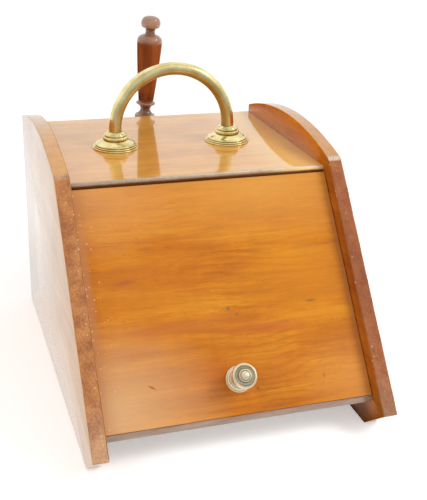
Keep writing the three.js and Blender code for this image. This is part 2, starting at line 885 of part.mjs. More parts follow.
// The plan of the pan, with its mouth's corners rounded.
function panPlan() {
  const half = panWidth / 2 + overrun;
  const arcX = panWidth / 2 - panCorner;
  const plan = new THREE.Shape();
  plan.moveTo(-arcX, 0);
  plan.lineTo(arcX, 0);
  plan.absarc(arcX, panCorner, panCorner, -0.5 * Math.PI, 0, false);
  plan.lineTo(half, panCorner);
  plan.lineTo(half, panLength + overrun);
  plan.lineTo(-half, panLength + overrun);
  plan.lineTo(-half, panCorner);
  plan.lineTo(-panWidth / 2, panCorner);
  plan.absarc(-arcX, panCorner, panCorner, Math.PI, 1.5 * Math.PI, false);
  return new THREE.ExtrudeGeometry(plan, { depth: 3 * panDepth, bevelEnabled: false, curveSegments: 3 })
    .rotateX(Math.PI / 2)
    .translate(0, 1.5 * panDepth, 0);
}

// Its side walls fall from the heel to the mouth.
const wallTaper = polygon([
  [panBelowAxis - panMouthDepth, -overrun],
  [panBelowAxis - panDepth, panLength],
  [panBelowAxis - 2 * panDepth, panLength],
  [panBelowAxis - 2 * panDepth, -overrun],
]);
const panShell = bodyOf(upright(panSection(0), 0, panLength))
  .subtract(bodyOf(upright(panSection(panSheet), -overrun, panLength - panSheet)))
  .subtract(bodyOf(slab(wallTaper, -panWidth, panWidth)))
  .subtract(bodyOf(rod(shankTenon / 2 + fit, panLength - 2 * panSheet, panLength + overrun)))
  .intersect(bodyOf(panPlan()));
add(shovel, "shovel_pan", geometryOf(panShell), polishedBrass);

const shankLow = panLength + fit;
const ferruleLow = panLength + shankLength;
const gripLow = ferruleLow + ferruleLength;
const shankTop = ferruleLow + ferruleLength - gripTenonLength - 2 * fit;
const shankRadius = shankDiameter / 2;
const peenDepth = panSheet + 2.2;
const shankProfile = [
  [0, panLength - peenDepth],
  [shankTenon / 2 + 1.4, panLength - peenDepth + 0.5],
  [shankTenon / 2 + 1.8, panLength - panSheet - fit],
  [shankTenon / 2, panLength - panSheet - fit],
  [shankTenon / 2, shankLow],
  [shankFoot / 2, shankLow],
  [shankFoot / 2, shankLow + 1.6],
  [shankFoot / 2 - 3, shankLow + 3],
  [shankRadius + 1.4, shankLow + 6],
  [shankRadius, shankLow + 11],
  [shankRadius, panLength + shankLength * 0.45],
  [shankRadius + 2.4, panLength + shankLength * 0.52],
  [shankRadius + 2.4, panLength + shankLength * 0.6],
  [shankRadius, panLength + shankLength * 0.67],
  [shankRadius, shankTop],
  [0, shankTop],
];
add(shovel, "shovel_shank", turned(shankProfile, 20), polishedBrass);

const ferruleRadius = ferruleDiameter / 2;
const tenonSeat = ferruleLow + ferruleLength - gripTenonLength - fit;
const ferruleProfile = [
  [shankRadius + fit, ferruleLow],
  [ferruleRadius - 3.4, ferruleLow],
  [ferruleRadius - 2.6, ferruleLow + 1.4],
  [ferruleRadius - 2.6, ferruleLow + 3],
  [ferruleRadius - 1.4, ferruleLow + ferruleLength - 4],
  [ferruleRadius, ferruleLow + ferruleLength - 3],
  [ferruleRadius, ferruleLow + ferruleLength - fit],
  [gripTenonDiameter / 2 + fit, ferruleLow + ferruleLength - fit],
  [gripTenonDiameter / 2 + fit, tenonSeat],
  [shankRadius + fit, tenonSeat],
  [shankRadius + fit, ferruleLow],
];
add(shovel, "shovel_ferrule", turned(ferruleProfile, 20), polishedBrass);

// The turned grip, from its tenon up: bell foot, cove, ring, long swelling taper, neck and flattened ball.
const gripRadius = gripDiameter / 2;
const ballRadius = gripBallDiameter / 2;
const gripTop = gripLow + gripLength;
const footTop = gripLow + gripFoot;
const ringLow = footTop + gripCove;
const ringHigh = ringLow + gripRing;
const ballLow = gripTop - gripBallHeight;
const swellLow = ballLow - gripSwellDrop;
const coveMiddle = (footTop + ringLow) / 2;
const ringMiddle = (ringLow + ringHigh) / 2;
const ballWidest = ballLow + 10;
const neckLow = ballLow - 8.6;
const gripProfile = [
  [0, gripLow - gripTenonLength],
  [gripTenonDiameter / 2, gripLow - gripTenonLength],
  [gripTenonDiameter / 2, gripLow],
  ...sweep([gripRadius - 5.2, gripLow], [gripRadius - 1, gripLow + 5], [gripRadius - 3.6, footTop], 4),
  ...sweep([gripRadius - 5, footTop], [gripRadius - 14.8, coveMiddle], [gripRadius - 6.4, ringLow], 5),
  ...sweep([gripRadius - 5.8, ringLow], [gripRadius - 1, ringMiddle], [gripRadius - 6.9, ringHigh], 4),
  ...sweep([gripRadius - 6.9, ringHigh + 2], [gripRadius - 1.6, swellLow - 34], [gripRadius, swellLow], 5),
  ...sweep([gripRadius, swellLow], [gripRadius, swellLow + 7.4], [gripRadius - 10.4, neckLow], 4).slice(1),
  ...sweep([gripRadius - 10.8, neckLow + 1], [gripRadius - 12, ballLow - 1.4], [ballRadius - 3, ballLow]),
  ...sweep([ballRadius - 1.6, ballLow + 0.6], [ballRadius + 1, ballLow + 5.6], [ballRadius - 1, ballWidest]),
  ...sweep([ballRadius - 1, ballWidest], [ballRadius - 2.6, gripTop], [0, gripTop]).slice(1),
];
add(shovel, "shovel_grip", turned(gripProfile, 24), darkMahogany);

// ---------------------------------------------------------------- the object's own frame

const rearmost = Math.max(keeperOuter, shovelY + gripRadius);
scuttle.position.y = -(toe[0] + rearmost) / 2;

export default scuttle;
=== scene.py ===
"""A slope-front coal scuttle in French-polished mahogany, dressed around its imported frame.

Shapes are worked out in millimetres in the frame's own axes, and become metres when a mesh is made.
"""

import json

import bpy
import numpy as np
from mathutils import Matrix, Vector


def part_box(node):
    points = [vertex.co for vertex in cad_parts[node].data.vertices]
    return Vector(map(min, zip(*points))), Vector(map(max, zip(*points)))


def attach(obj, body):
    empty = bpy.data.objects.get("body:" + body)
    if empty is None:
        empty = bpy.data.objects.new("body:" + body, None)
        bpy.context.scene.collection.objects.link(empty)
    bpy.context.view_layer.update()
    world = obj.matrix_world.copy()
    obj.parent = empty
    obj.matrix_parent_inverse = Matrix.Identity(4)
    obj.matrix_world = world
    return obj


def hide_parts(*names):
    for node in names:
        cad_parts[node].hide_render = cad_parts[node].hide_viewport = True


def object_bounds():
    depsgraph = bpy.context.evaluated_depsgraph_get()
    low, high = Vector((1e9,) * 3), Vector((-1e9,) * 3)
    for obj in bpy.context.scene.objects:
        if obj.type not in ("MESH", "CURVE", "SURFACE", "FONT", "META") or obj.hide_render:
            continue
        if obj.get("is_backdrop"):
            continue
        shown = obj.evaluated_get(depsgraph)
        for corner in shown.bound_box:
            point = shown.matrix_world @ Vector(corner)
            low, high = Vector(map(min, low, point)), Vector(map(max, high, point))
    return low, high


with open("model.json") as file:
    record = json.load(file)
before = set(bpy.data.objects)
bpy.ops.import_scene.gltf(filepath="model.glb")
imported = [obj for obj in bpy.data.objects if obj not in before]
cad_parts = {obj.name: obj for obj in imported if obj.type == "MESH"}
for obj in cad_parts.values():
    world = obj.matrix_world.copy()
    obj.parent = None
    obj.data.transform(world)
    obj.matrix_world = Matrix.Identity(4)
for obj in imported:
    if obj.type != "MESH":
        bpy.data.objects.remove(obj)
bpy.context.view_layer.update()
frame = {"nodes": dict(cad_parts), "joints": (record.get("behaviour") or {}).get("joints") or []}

# ---------------------------------------------------------------- view of the photograph
# The camera stands to the left of the box and looks down on it. It was fitted to the corners and the
# arched tops in the photograph, and its long side is the frame's height.

CAMERA_PLACE = (-0.31172, -1.02552, 0.60417)
CAMERA_YAW, CAMERA_PITCH, CAMERA_ROLL = np.radians((18.670, 22.947, 1.8635))
CAMERA_LENS = 65.707

ahead = np.array(
    (
        np.sin(CAMERA_YAW) * np.cos(CAMERA_PITCH),
        np.cos(CAMERA_YAW) * np.cos(CAMERA_PITCH),
        -np.sin(CAMERA_PITCH),
    )
)
level = np.array((np.cos(CAMERA_YAW), -np.sin(CAMERA_YAW), 0))
above = np.cross(level, ahead)
across = level * np.cos(CAMERA_ROLL) + above * np.sin(CAMERA_ROLL)
upward = above * np.cos(CAMERA_ROLL) - level * np.sin(CAMERA_ROLL)

lens = bpy.data.cameras.new("camera")
lens.lens = CAMERA_LENS
lens.sensor_width = 36
lens.clip_start = 0.01
camera = bpy.data.objects.new("camera", lens)
bpy.context.scene.collection.objects.link(camera)
turned = Matrix(np.column_stack((across, upward, -ahead)).tolist()).to_4x4()
camera.matrix_world = Matrix.Translation(CAMERA_PLACE) @ turned
bpy.context.scene.camera = camera

# ---------------------------------------------------------------- studio
# A white paper sweep, seen white by the camera and by glossy rays, with the darker room behind the
# photographer for polish and brass to mirror. A large soft lamp stands high on the right.


def colour(code):
    """An sRGB hex value as linear red, green, blue and alpha."""
    c = np.array((code >> 16 & 255, code >> 8 & 255, code & 255)) / 255
    linear = np.where(c <= 0.04045, c / 12.92, ((c + 0.055) / 1.055) ** 2.4)
    return (*linear.tolist(), 1.0)


def put(tree, kind, inputs=None, stops=None, **settings):
    """Adds a node. inputs are values, sockets or nodes by the input's name or number, and a node stands for
    its first output. stops are a ramp's places and codes."""
    made = tree.nodes.new("ShaderNode" + kind)
    for key, value in settings.items():
        setattr(made, key, value)
    for key, value in (inputs or {}).items():
        if isinstance(value, bpy.types.Node):
            value = value.outputs[0]
        if isinstance(value, bpy.types.NodeSocket):
            tree.links.new(value, made.inputs[key])
        else:
            made.inputs[key].default_value = value
    if stops:
        elements = made.color_ramp.elements
        for _ in stops[2:]:
            elements.new(1)
        for element, (place, code) in zip(elements, stops):
            element.position = place
            element.color = colour(code)
    return made


def new_material(name):
    """An empty node material and its tree."""
    material = bpy.data.materials.new(name)
    material.use_nodes = True
    material.node_tree.nodes.clear()
    return material, material.node_tree


def new_piece(name, points, faces, material):
    """A piece from points in millimetres and faces. A closed shape that is inside out is turned."""
    points = np.asarray(points, float).reshape(-1, 3)
    fans = [(f[0], f[i], f[i + 1]) for f in faces for i in range(1, len(f) - 1)]
    a, b, c = points[np.array(fans)].transpose(1, 0, 2)
    if np.einsum("ij,ij->", a, np.cross(b, c)) < 0:
        faces = [f[::-1] for f in faces]
    mesh = bpy.data.meshes.new(name)
    mesh.from_pydata((points / 1000).tolist(), [], [list(f) for f in faces])
    mesh.polygons.foreach_set("use_smooth", np.ones(len(faces), bool))
    mesh.set_sharp_from_angle(angle=np.radians(38))
    mesh.materials.append(material)
    mesh.validate()
    made = bpy.data.objects.new(name, mesh)
    bpy.context.scene.collection.objects.link(made)
    return made


PAPER = 0xF4F3F1
FLOOR_HALF = 9000
WHITE = (1, 1, 1, 1)
FLOOR_GLOW = 0.42
WORLD_DIFFUSE = 0.62
ROOM_DARK = 0.60
FLOOR_DARK = 0.46
# What polished metal mirrors besides: the direction of each soft lamp, its half width in degrees, its glow.
SOFTBOXES = (
    ((0.9, -0.5, 0.55), 20, 1.0),
    ((0.72, -0.30, 0.62), 4, 7.0),
    ((-0.95, -0.35, 0.5), 22, 0.9),
    ((0, 0.1, 1), 18, 1.0),
    ((0.3, -0.55, 0.8), 24, 0.95),
)

paper, tree = new_material("white_paper_sweep")
light_path = put(tree, "LightPath")
camera_ray, glossy_ray = light_path.outputs["Is Camera Ray"], light_path.outputs["Is Glossy Ray"]
matte = put(tree, "BsdfDiffuse", {"Color": colour(PAPER)})
glow = put(tree, "Emission", {"Color": WHITE, "Strength": FLOOR_GLOW})
seen = put(tree, "Math", {0: camera_ray, 1: glossy_ray}, operation="MAXIMUM")
lift = put(tree, "MixShader", {0: seen, 2: glow})
bright = put(tree, "AddShader", {0: matte, 1: lift})
# Polished metal mirrors the floor in front as dark, because the photographer stands in its light.
near = put(tree, "SeparateXYZ", {0: put(tree, "TexCoord").outputs["Object"]}).outputs["Y"]
near = put(tree, "MapRange", {0: near, 1: -0.5, 2: -0.2, 3: 1.0, 4: 0.0})
near = put(tree, "Math", {0: near, 1: glossy_ray}, operation="MULTIPLY")
dim = put(tree, "Emission", {"Color": WHITE, "Strength": FLOOR_DARK})
sweep_shader = put(tree, "MixShader", {0: near, 1: bright, 2: dim})
put(tree, "OutputMaterial", {"Surface": sweep_shader})
corners = np.array([(-1, -1, 0), (1, -1, 0), (1, 1, 0), (-1, 1, 0)]) * FLOOR_HALF
floor = new_piece("studio_floor", corners, [(0, 1, 2, 3)], paper)
floor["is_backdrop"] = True

world = bpy.data.worlds.new("studio")
bpy.context.scene.world = world
world.use_nodes = True
tree = world.node_tree
tree.nodes.clear()
light_path = put(tree, "LightPath")
camera_ray, glossy_ray = light_path.outputs["Is Camera Ray"], light_path.outputs["Is Glossy Ray"]
direction = put(tree, "TexCoord").outputs["Generated"]
depth = put(tree, "SeparateXYZ", {0: direction}).outputs["Y"]
darker = {0: depth, 1: -0.25, 2: 0.15, 3: ROOM_DARK, 4: 1.0}
room = put(tree, "MapRange", darker, interpolation_type="SMOOTHSTEP")
for towards, reach, strength in SOFTBOXES:
    towards = (np.array(towards) / np.linalg.norm(towards)).tolist()
    facing = put(tree, "VectorMath", {0: direction, 1: towards}, operation="DOT_PRODUCT").outputs["Value"]
    edges = np.cos(np.radians((reach + 6, reach - 6))).tolist()
    panel = put(tree, "MapRange", {0: facing, 1: edges[0], 2: edges[1], 3: 0, 4: strength})
    room = put(tree, "Math", {0: room, 1: panel}, operation="MAXIMUM")
mirrored = put(tree, "Background", {"Color": WHITE, "Strength": room})
lit = put(tree, "Background", {"Color": WHITE, "Strength": WORLD_DIFFUSE})
behind = put(tree, "Background", {"Color": WHITE, "Strength": 1.0})
for_gloss = put(tree, "MixShader", {0: glossy_ray, 1: lit, 2: mirrored})
for_camera = put(tree, "MixShader", {0: camera_ray, 1: for_gloss, 2: behind})
put(tree, "OutputWorld", {"Surface": for_camera})


def lamp(name, place, aim, size, power):
    """A square soft lamp that faces a point, in metres and watts."""
    light = bpy.data.lights.new(name, "AREA")
    light.size = size
    light.energy = power
    made = bpy.data.objects.new(name, light)
    made.visible_glossy = False
    bpy.context.scene.collection.objects.link(made)
    out = Vector(place) - Vector(aim)
    made.matrix_world = Matrix.Translation(place) @ out.to_track_quat("Z", "Y").to_matrix().to_4x4()


lamp("key", (1.5, -1.2, 1.7), (0, 0, 0.15), 1.0, 30)
lamp("left_fill", (-1.6, -0.9, 1.2), (0, 0, 0.15), 1.2, 10)

bpy.context.scene.view_settings.view_transform = "Standard"

# ---------------------------------------------------------------- side boards
# Two 18 mm boards of solid mahogany, sawn to a slope at the front and an arch on top. They stand on the
# floor and carry everything else. Their arrises are rubbed down, and the slope's edge shows end grain.

SLOPE = np.radians(51)
SLOPE_EDGE = 314
FOOT_CUT = 55
REAR_HEIGHT = 277
CROWN_RISE = 22
CROWN_CORNER_RADIUS = 4
HOUSING_DEPTH = 6
HOUSING_STOP = 22
OVERRUN = 5
NOSE_FACE = 4
FIT = 0.3

along = np.array((np.cos(SLOPE), np.sin(SLOPE)))
inward = np.array((np.sin(SLOPE), -np.cos(SLOPE)))
low, high = (np.array(corner) * 1000 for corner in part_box("side_board_right"))
half_width, inner_half = high[0], low[0]
toe = np.array((low[1], FOOT_CUT * np.cos(SLOPE)))
foot = toe + inward * FOOT_CUT
front_top = toe + along * SLOPE_EDGE
rear_y = high[1]
rear_top = np.array((rear_y, REAR_HEIGHT))
top_low, top_high = (corner[2] * 1000 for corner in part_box("top_board"))
nose_tip = np.array((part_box("top_board")[0].y * 1000, top_high - NOSE_FACE * np.sin(SLOPE)))
nose_top = nose_tip + along * NOSE_FACE


def wander(s, seed, *waves):
    """A smooth curve that wavers about 0: a sum of sines, given as pairs of wavelength and height."""
    phases = np.random.default_rng(seed).uniform(0, 2 * np.pi, len(waves))
    return sum(h * np.sin(2 * np.pi * s / w + p) for (w, h), p in zip(waves, phases))


def rounded(corners, radii, spacing, closed=True):
    """The outline through corners, each turned on an arc of its radius, with points about spacing apart."""
    corners = np.asarray(corners, float)
    radii = np.broadcast_to(radii, len(corners))
    line = []
    for i, (corner, radius) in enumerate(zip(corners, radii)):
        if radius == 0 or (not closed and i in (0, len(corners) - 1)):
            line.append(corner[None])
            continue
        back = corners[i - 1] - corner
        on = corners[(i + 1) % len(corners)] - corner
        back, on = back / np.linalg.norm(back), on / np.linalg.norm(on)
        half = np.arccos(np.clip(back @ on, -1, 1)) / 2
        middle = corner + (back + on) / np.linalg.norm(back + on) * radius / np.sin(half)
        start = corner + back * radius / np.tan(half) - middle
        sweep = np.pi - 2 * half
        turn = np.sign(back[1] * on[0] - back[0] * on[1])
        count = max(3, int(np.ceil(np.degrees(sweep) / 12)))
        angles = np.arctan2(start[1], start[0]) + turn * np.linspace(0, sweep, count + 1)
        line.append(middle + radius * np.stack((np.cos(angles), np.sin(angles)), 1))
    line = np.concatenate(line)
    after = np.roll(line, -1, 0) if closed else line[1:]
    before = line if closed else line[:-1]
    gaps = np.linalg.norm(after - before, axis=1)
    pieces = [
        a + (b - a) * (np.arange(n) / n)[:, None]
        for a, b, n in zip(before, after, np.maximum(1, np.round(gaps / spacing).astype(int)))
    ]
    return np.concatenate(pieces if closed else pieces + [line[-1:]])


def loft(rings, closed=False):
    """Quads between neighbouring closed rings. A closed loft joins its last ring to its first, and an open
    one has a fan from each end ring to its middle."""
    rings = np.asarray(rings, float)
    ends = rings[0].mean(0), rings[-1].mean(0)
    if not closed:
        rings = rings[np.ptp(rings, axis=1).max(1) > 1e-6]
    count, sides, _ = rings.shape
    index = np.arange(count * sides).reshape(count, sides)
    after = np.roll(index, -1, 1)
    if closed:
        upper = np.roll(index, -1, 0), np.roll(after, -1, 0)
        return rings.reshape(-1, 3), np.stack((index, after, upper[1], upper[0]), -1).reshape(-1, 4).tolist()
    quads = np.stack((index[:-1], after[:-1], after[1:], index[1:]), -1).reshape(-1, 4)
    first = np.stack((after[0], index[0], np.full(sides, count * sides)), -1)
    last = np.stack((index[-1], after[-1], np.full(sides, count * sides + 1)), -1)
    return np.concatenate((rings.reshape(-1, 3), ends)), quads.tolist() + first.tolist() + last.tolist()


def board_rings(outline, x0, x1, arris, seed=1, steps=6):
    """Rings of a board: an outline in Y and Z at steps across X, drawn in on a quarter round at each face.
    The quarter round's radius wavers along the edge, as hand-rubbed arrises do."""
    after, before = np.roll(outline, -1, 0), np.roll(outline, 1, 0)
    tangent = after - before
    tangent /= np.linalg.norm(tangent, axis=1)[:, None]
    inside = np.stack((-tangent[:, 1], tangent[:, 0]), 1)
    area = np.sum(outline[:, 0] * after[:, 1] - after[:, 0] * outline[:, 1])
    inside *= np.sign(area)
    run = np.cumsum(np.linalg.norm(outline - before, axis=1))
    radius = arris * (1 + wander(run, seed, (61, 0.18), (23, 0.14), (7.7, 0.10)))
    turn = np.linspace(0, np.pi / 2, 5)
    inset = np.concatenate((1 - np.sin(turn), np.zeros(steps - 1), (1 - np.sin(turn))[::-1]))
    depth = np.concatenate((1 - np.cos(turn), np.zeros(steps - 1), (np.cos(turn) - 1)[::-1]))
    base = np.concatenate((np.full(5, x0), np.linspace(x0, x1, steps + 1)[1:-1], np.full(5, x1)))
    x = base[:, None] + depth[:, None] * radius
    yz = outline + inset[:, None, None] * radius[:, None] * inside
    return np.concatenate((x[..., None], yz), -1)


def mark(piece, name, values):
    """Gives each point of a piece a number that its material reads."""
    attribute = piece.data.attributes.new(name, "FLOAT", "POINT")
    attribute.data.foreach_set("value", np.asarray(values, np.float32).ravel())


def near_line(points, corner, reach):
    """1 on the line across the box through a corner in Y and Z, falling to 0 at twice the reach from it."""
    away = np.linalg.norm(np.asarray(points)[..., 1:] - corner, axis=-1)
    return np.clip(2 - away / reach, 0, 1)


def cut_boxes(piece, boxes):
    """Cuts boxes, given by their corners, out of a piece."""
    order = ((0, 1, 3, 2), (4, 6, 7, 5), (0, 4, 5, 1), (2, 3, 7, 6), (0, 2, 6, 4), (1, 5, 7, 3))
    tools = []
    for a, b in boxes:
        corners = [(x, y, z) for x in (a[0], b[0]) for y in (a[1], b[1]) for z in (a[2], b[2])]
        tools.append(new_piece("tool", corners, order, piece.data.materials[0]))
        step = piece.modifiers.new("joint", "BOOLEAN")
        step.operation = "DIFFERENCE"
        step.object = tools[-1]
        step.solver = "EXACT"
    bpy.context.view_layer.update()
    shape = bpy.data.meshes.new_from_object(piece.evaluated_get(bpy.context.evaluated_depsgraph_get()))
    piece.modifiers.clear()
    piece.data = shape
    shape.set_sharp_from_angle(angle=np.radians(38))
    for tool in tools:
        bpy.data.objects.remove(tool)


# Stains over the wood's own tones, and painted shade, reflections and highlights. A piece's points carry
# how much of them it shows, as numbers from 0 to 1: edge is end grain, crown and worn are rubbed pale,
# grime is dirt, chipped is flecked, and dull has lost its polish. On the top board's nose, worn draws a
# painted highlight and edge draws the face grey-tan. One more number lets a material's marks, painted
# shade and painted reflections show.
PORE = 0x6A3212
FIGURE = 0x8E3E12
CROWN = 0xDA9C44
WORN_AND_HIGHLIGHT = 0xE2CFB4
GRIME = 0x3C2414
FLECK = 0xDEBE98


def mahogany(
    name,
    tones,
    edge_tones=(0x5E3218, 0x8A5A3C),
    turn=(0, 0, 0),
    shift=(0, 0, 0),
    marks_and_painted_light=(),
    coat=1.0,
    gloss=1.75,
    lines=0.16,
):
    """French-polished mahogany: soft bands and fine streaks along the grain, short dark pores, and shellac
    over them that mirrors at low angles. turn lays the grain along the pattern's X, gloss is the shellac's
    index of refraction, and lines is how strong the figure's dark lines are.
    A patch is (x, up, half length, half height, turn in degrees, colour, strength) on the turned board. Some
    patches are real marks, and some are painted shade and painted reflections."""
    material, tree = new_material(name)
    place = put(tree, "TexCoord").outputs["Object"]
    millimetres = {0: place, "Scale": (1000, 1000, 1000), "Rotation": turn, "Location": shift}
    board = put(tree, "Mapping", millimetres)
    marks = ("edge", "shows_marks_and_painted_light", "crown", "worn", "grime", "chipped", "dull")
    marks = {each: put(tree, "Attribute", attribute_name=each).outputs["Fac"] for each in marks}

    def streaks(length, width, **settings):
        """Noise about a length along the grain and a width across it, in millimetres."""
        grain = put(tree, "Mapping", {0: board, "Scale": (1 / length, 1 / width, 1 / width)})
        return put(tree, "TexNoise", {"Vector": grain, "Scale": 1.0, **settings})

    bands = streaks(220, 34, Detail=2.5, Roughness=0.5, Distortion=0.7)
    figure = streaks(70, 5, Detail=3.0, Roughness=0.6, Distortion=0.6)
    fine = streaks(20, 1.4, Detail=3.0, Roughness=0.65, Distortion=0.3)
    mottle = streaks(14, 30, Detail=2.0)
    coarse, small = streaks(15, 15, Detail=3.0), streaks(2.4, 2.4, Detail=3.0)
    blotch = put(tree, "Mix", {0: 0.45, 2: coarse, 3: small})
    both = put(tree, "Mix", {0: 0.34, 2: bands, 3: figure})
    tone = put(tree, "ValToRGB", {0: both}, stops=list(zip((0.36, 0.47, 0.55, 0.65), tones)))
    for pattern, reach in ((fine, 0.10), (mottle, 0.04)):
        shade = put(tree, "MapRange", {0: pattern, 1: 0.3, 2: 0.7, 3: 1 - reach, 4: 1 + reach})
        shaded = {0: 1.0, 6: tone, 7: shade}
        tone = put(tree, "Mix", shaded, data_type="RGBA", blend_type="MULTIPLY").outputs[2]

    # What lies over the wood's tone, in order: where it is, as a share from 0 to 1, and its colour.
    # The pores are drawn 1.2 mm wide, because their real 0.2 mm would not show in the render.
    pores = streaks(9, 1.2, Detail=1.5, Roughness=0.5)
    pore = put(tree, "MapRange", {0: pores, 1: 0.58, 2: 0.74, 3: 0.0, 4: 0.25})
    # The figure's lines lie 9 mm apart and bend round the tree's growth, as level lines do round a hill.
    across = put(tree, "VectorMath", {0: board, 1: (0, 1, 1)}, operation="DOT_PRODUCT").outputs["Value"]
    hill = streaks(110, 44, Detail=1.5, Roughness=0.4)
    phase = put(tree, "Math", {0: hill, 1: 30.0}, operation="MULTIPLY")
    phase = put(tree, "Math", {0: across, 1: 2 * np.pi / 9, 2: phase}, operation="MULTIPLY_ADD")
    growth = put(tree, "Math", {0: phase}, operation="SINE")
    growth = put(tree, "MapRange", {0: growth, 1: 0.2, 2: 1.0, 3: 0.0, 4: lines})
    where = put(tree, "MapRange", {0: streaks(130, 60, Detail=1.0), 1: 0.42, 2: 0.62})
    growth = put(tree, "Math", {0: growth, 1: where}, operation="MULTIPLY")
    end_grain = put(tree, "MapRange", {0: blotch, 1: 0.38, 2: 0.62})
    end_grain = {0: end_grain, 6: colour(edge_tones[0]), 7: colour(edge_tones[1])}
    end_grain = put(tree, "Mix", end_grain, data_type="RGBA").outputs[2]
    layers = [(pore, colour(PORE)), (growth, colour(FIGURE)), (marks["edge"], end_grain)]
    # Patches with ragged soft edges: real marks, painted shade and painted reflections.
    for x, up, length, height, degrees, overlay_colour, strength in marks_and_painted_light:
        shifted = put(tree, "VectorMath", {0: board, 1: (x, 0, up)}, operation="SUBTRACT")
        laid = put(tree, "VectorRotate", {0: shifted, "Angle": np.radians(degrees)}, rotation_type="Y_AXIS")
        scaled = put(tree, "VectorMath", {0: laid, 1: (1 / length, 0, 1 / height)}, operation="MULTIPLY")
        away = put(tree, "VectorMath", {0: scaled}, operation="LENGTH").outputs["Value"]
        ragged = put(tree, "Mix", {0: 0.25, 2: away, 3: fine})
        share = put(tree, "MapRange", {0: ragged, 1: 0.20, 2: 0.95, 3: strength, 4: 0.0})
        share = put(tree, "Math", {0: share, 1: marks["shows_marks_and_painted_light"]}, operation="MULTIPLY")
        layers.append((share, colour(overlay_colour)))
    for attribute, overlay_colour, reach in (("crown", CROWN, 0.25), ("worn", WORN_AND_HIGHLIGHT, 0.35), ("grime", GRIME, 0.8)):
        patchy = put(tree, "MapRange", {0: blotch, 1: 0.35, 2: 0.65, 3: 1 - reach, 4: 1 + reach})
        share = put(tree, "Math", {0: marks[attribute], 1: patchy}, operation="MULTIPLY", use_clamp=True)
        layers.append((share, colour(overlay_colour)))
    # Chips in the polish are pale dots, at most one in each cell of 4 mm, and most cells have none.
    cells = put(tree, "Mapping", {0: place, "Scale": (260, 260, 260)})
    dots = put(tree, "TexVoronoi", {"Vector": cells, "Scale": 1.0})
    chance = put(tree, "SeparateXYZ", {0: dots.outputs["Color"]})
    size = put(tree, "MapRange", {0: chance, 1: 0.6, 2: 1.0, 3: 0.0, 4: 0.40})
    inside = put(tree, "Math", {0: size, 1: dots.outputs["Distance"]}, operation="SUBTRACT")
    dot = put(tree, "MapRange", {0: inside, 1: 0.0, 2: 0.08})
    share = put(tree, "Math", {0: dot, 1: marks["chipped"]}, operation="MULTIPLY")
    layers.append((share, colour(FLECK)))
    for share, overlay_colour in layers:
        tone = put(tree, "Mix", {0: share, 6: tone, 7: overlay_colour}, data_type="RGBA").outputs[2]

    smears = put(tree, "TexNoise", {"Vector": board, "Scale": 0.02, "Detail": 3.0})
    rough = put(tree, "MapRange", {0: smears, 1: 0.3, 2: 0.7, 3: 0.30, 4: 0.45})
    relief = put(tree, "Mix", {0: 0.5, 2: pore, 3: fine})
    bump = put(tree, "Bump", {"Strength": 0.10, "Distance": 0.0004, "Height": relief}, invert=True)
    polish, haze, gleam = (
        put(tree, "MapRange", {0: marks["dull"], 3: full, 4: 0.0}) for full in (coat, 0.10 * coat, 0.08)
    )
    shader = put(
        tree,
        "BsdfPrincipled",
        {
            "Base Color": tone,
            "Roughness": rough,
            "Normal": bump,
            "IOR": 1.5,
            "Specular IOR Level": gleam,
            "Coat Weight": polish,
            "Coat Roughness": 0.07,
            "Coat IOR": gloss,
            "Sheen Weight": haze,
            "Sheen Roughness": 0.4,
        },
    )
    put(tree, "OutputMaterial", {"Surface": shader})
    return material


chord = rear_top - front_top
crown_radius = (chord @ chord) / (8 * CROWN_RISE) + CROWN_RISE / 2
crown_middle = (front_top + rear_top) / 2 + np.array((chord[1], -chord[0])) / np.linalg.norm(chord) * (
    crown_radius - CROWN_RISE
)
crown_ends = [np.arctan2(*(p - crown_middle)[::-1]) for p in (rear_top, front_top)]
clear = 3 / crown_radius
crown_turn = np.linspace(crown_ends[0] + clear, crown_ends[1] - clear, 80)
crown = crown_middle + crown_radius * np.stack((np.cos(crown_turn), np.sin(crown_turn)), 1)
side_corners = np.concatenate(([foot, (rear_y, 0), rear_top], crown, [front_top, toe]))
side_radii = np.concatenate(([1.5, 1.5, 2.5], np.zeros(len(crown)), [CROWN_CORNER_RADIUS, 2]))
side_outline = rounded(side_corners, side_radii, 3.0)

FORE_AND_AFT = (0, 0, np.radians(-90))

# The left board is drawn paler and yellower than the right: partly its own colour, partly a painted sheen for
# the pale reflection on its outer face.
side_wood = {
    "left": mahogany(
        "mahogany_side_left",
        tones=(0xB67C3A, 0xC08642, 0xCA9048, 0xD29A52),
        edge_tones=(0x965A32, 0xC08048),
        turn=FORE_AND_AFT,
    ),
    "right": mahogany(
        "mahogany_side_right",
        tones=(0xB46010, 0xC87018, 0xD67C1E, 0xE08826),
        edge_tones=(0x945430, 0xC47C4A),
        turn=FORE_AND_AFT,
        marks_and_painted_light=(
            # Painted shade on the inner face: a strip beside the flap along the slope, and a patch at the
            # foot.
            (*(toe + along * SLOPE_EDGE * 0.55), 290, 27, 51, 0x7E4020, 0.65),
            (-198, 12, 112, 60, 0, 0x5E3218, 0.92),
        ),
    ),
}


def housings(side):
    """The grooves for the top, bottom and back boards, as boxes that the boards' own boxes give. Only the top
    and back boards' grooves run out through the rear edge."""
    floor = side * (inner_half + HOUSING_DEPTH)
    opening = side * (inner_half - OVERRUN)
    for board, stop, overrun in (
        ("top_board", nose_top[0] + HOUSING_STOP, OVERRUN),
        ("bottom_board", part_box("bottom_board")[0].y * 1000 + HOUSING_STOP, 0),
        ("back_board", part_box("back_board")[0].y * 1000, OVERRUN),
    ):
        low, high = (np.array(corner) * 1000 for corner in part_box(board))
        yield (
            (min(floor, opening), stop - FIT, low[2] - FIT),
            (max(floor, opening), high[1] + FIT + overrun, high[2] + FIT),
        )


# How far each board's crown is rubbed, its toe and upper corner worn and its slope chipped, and how dirty
# its joint with the flap is.
SIDE_WEAR = {"left": (0.75, 0.25, 0.2, 0.7, 0.6), "right": (0.6, 0.12, 0.8, 0.45, 0.35)}
TOE_REACH = 70
CHIP_REACH = 13

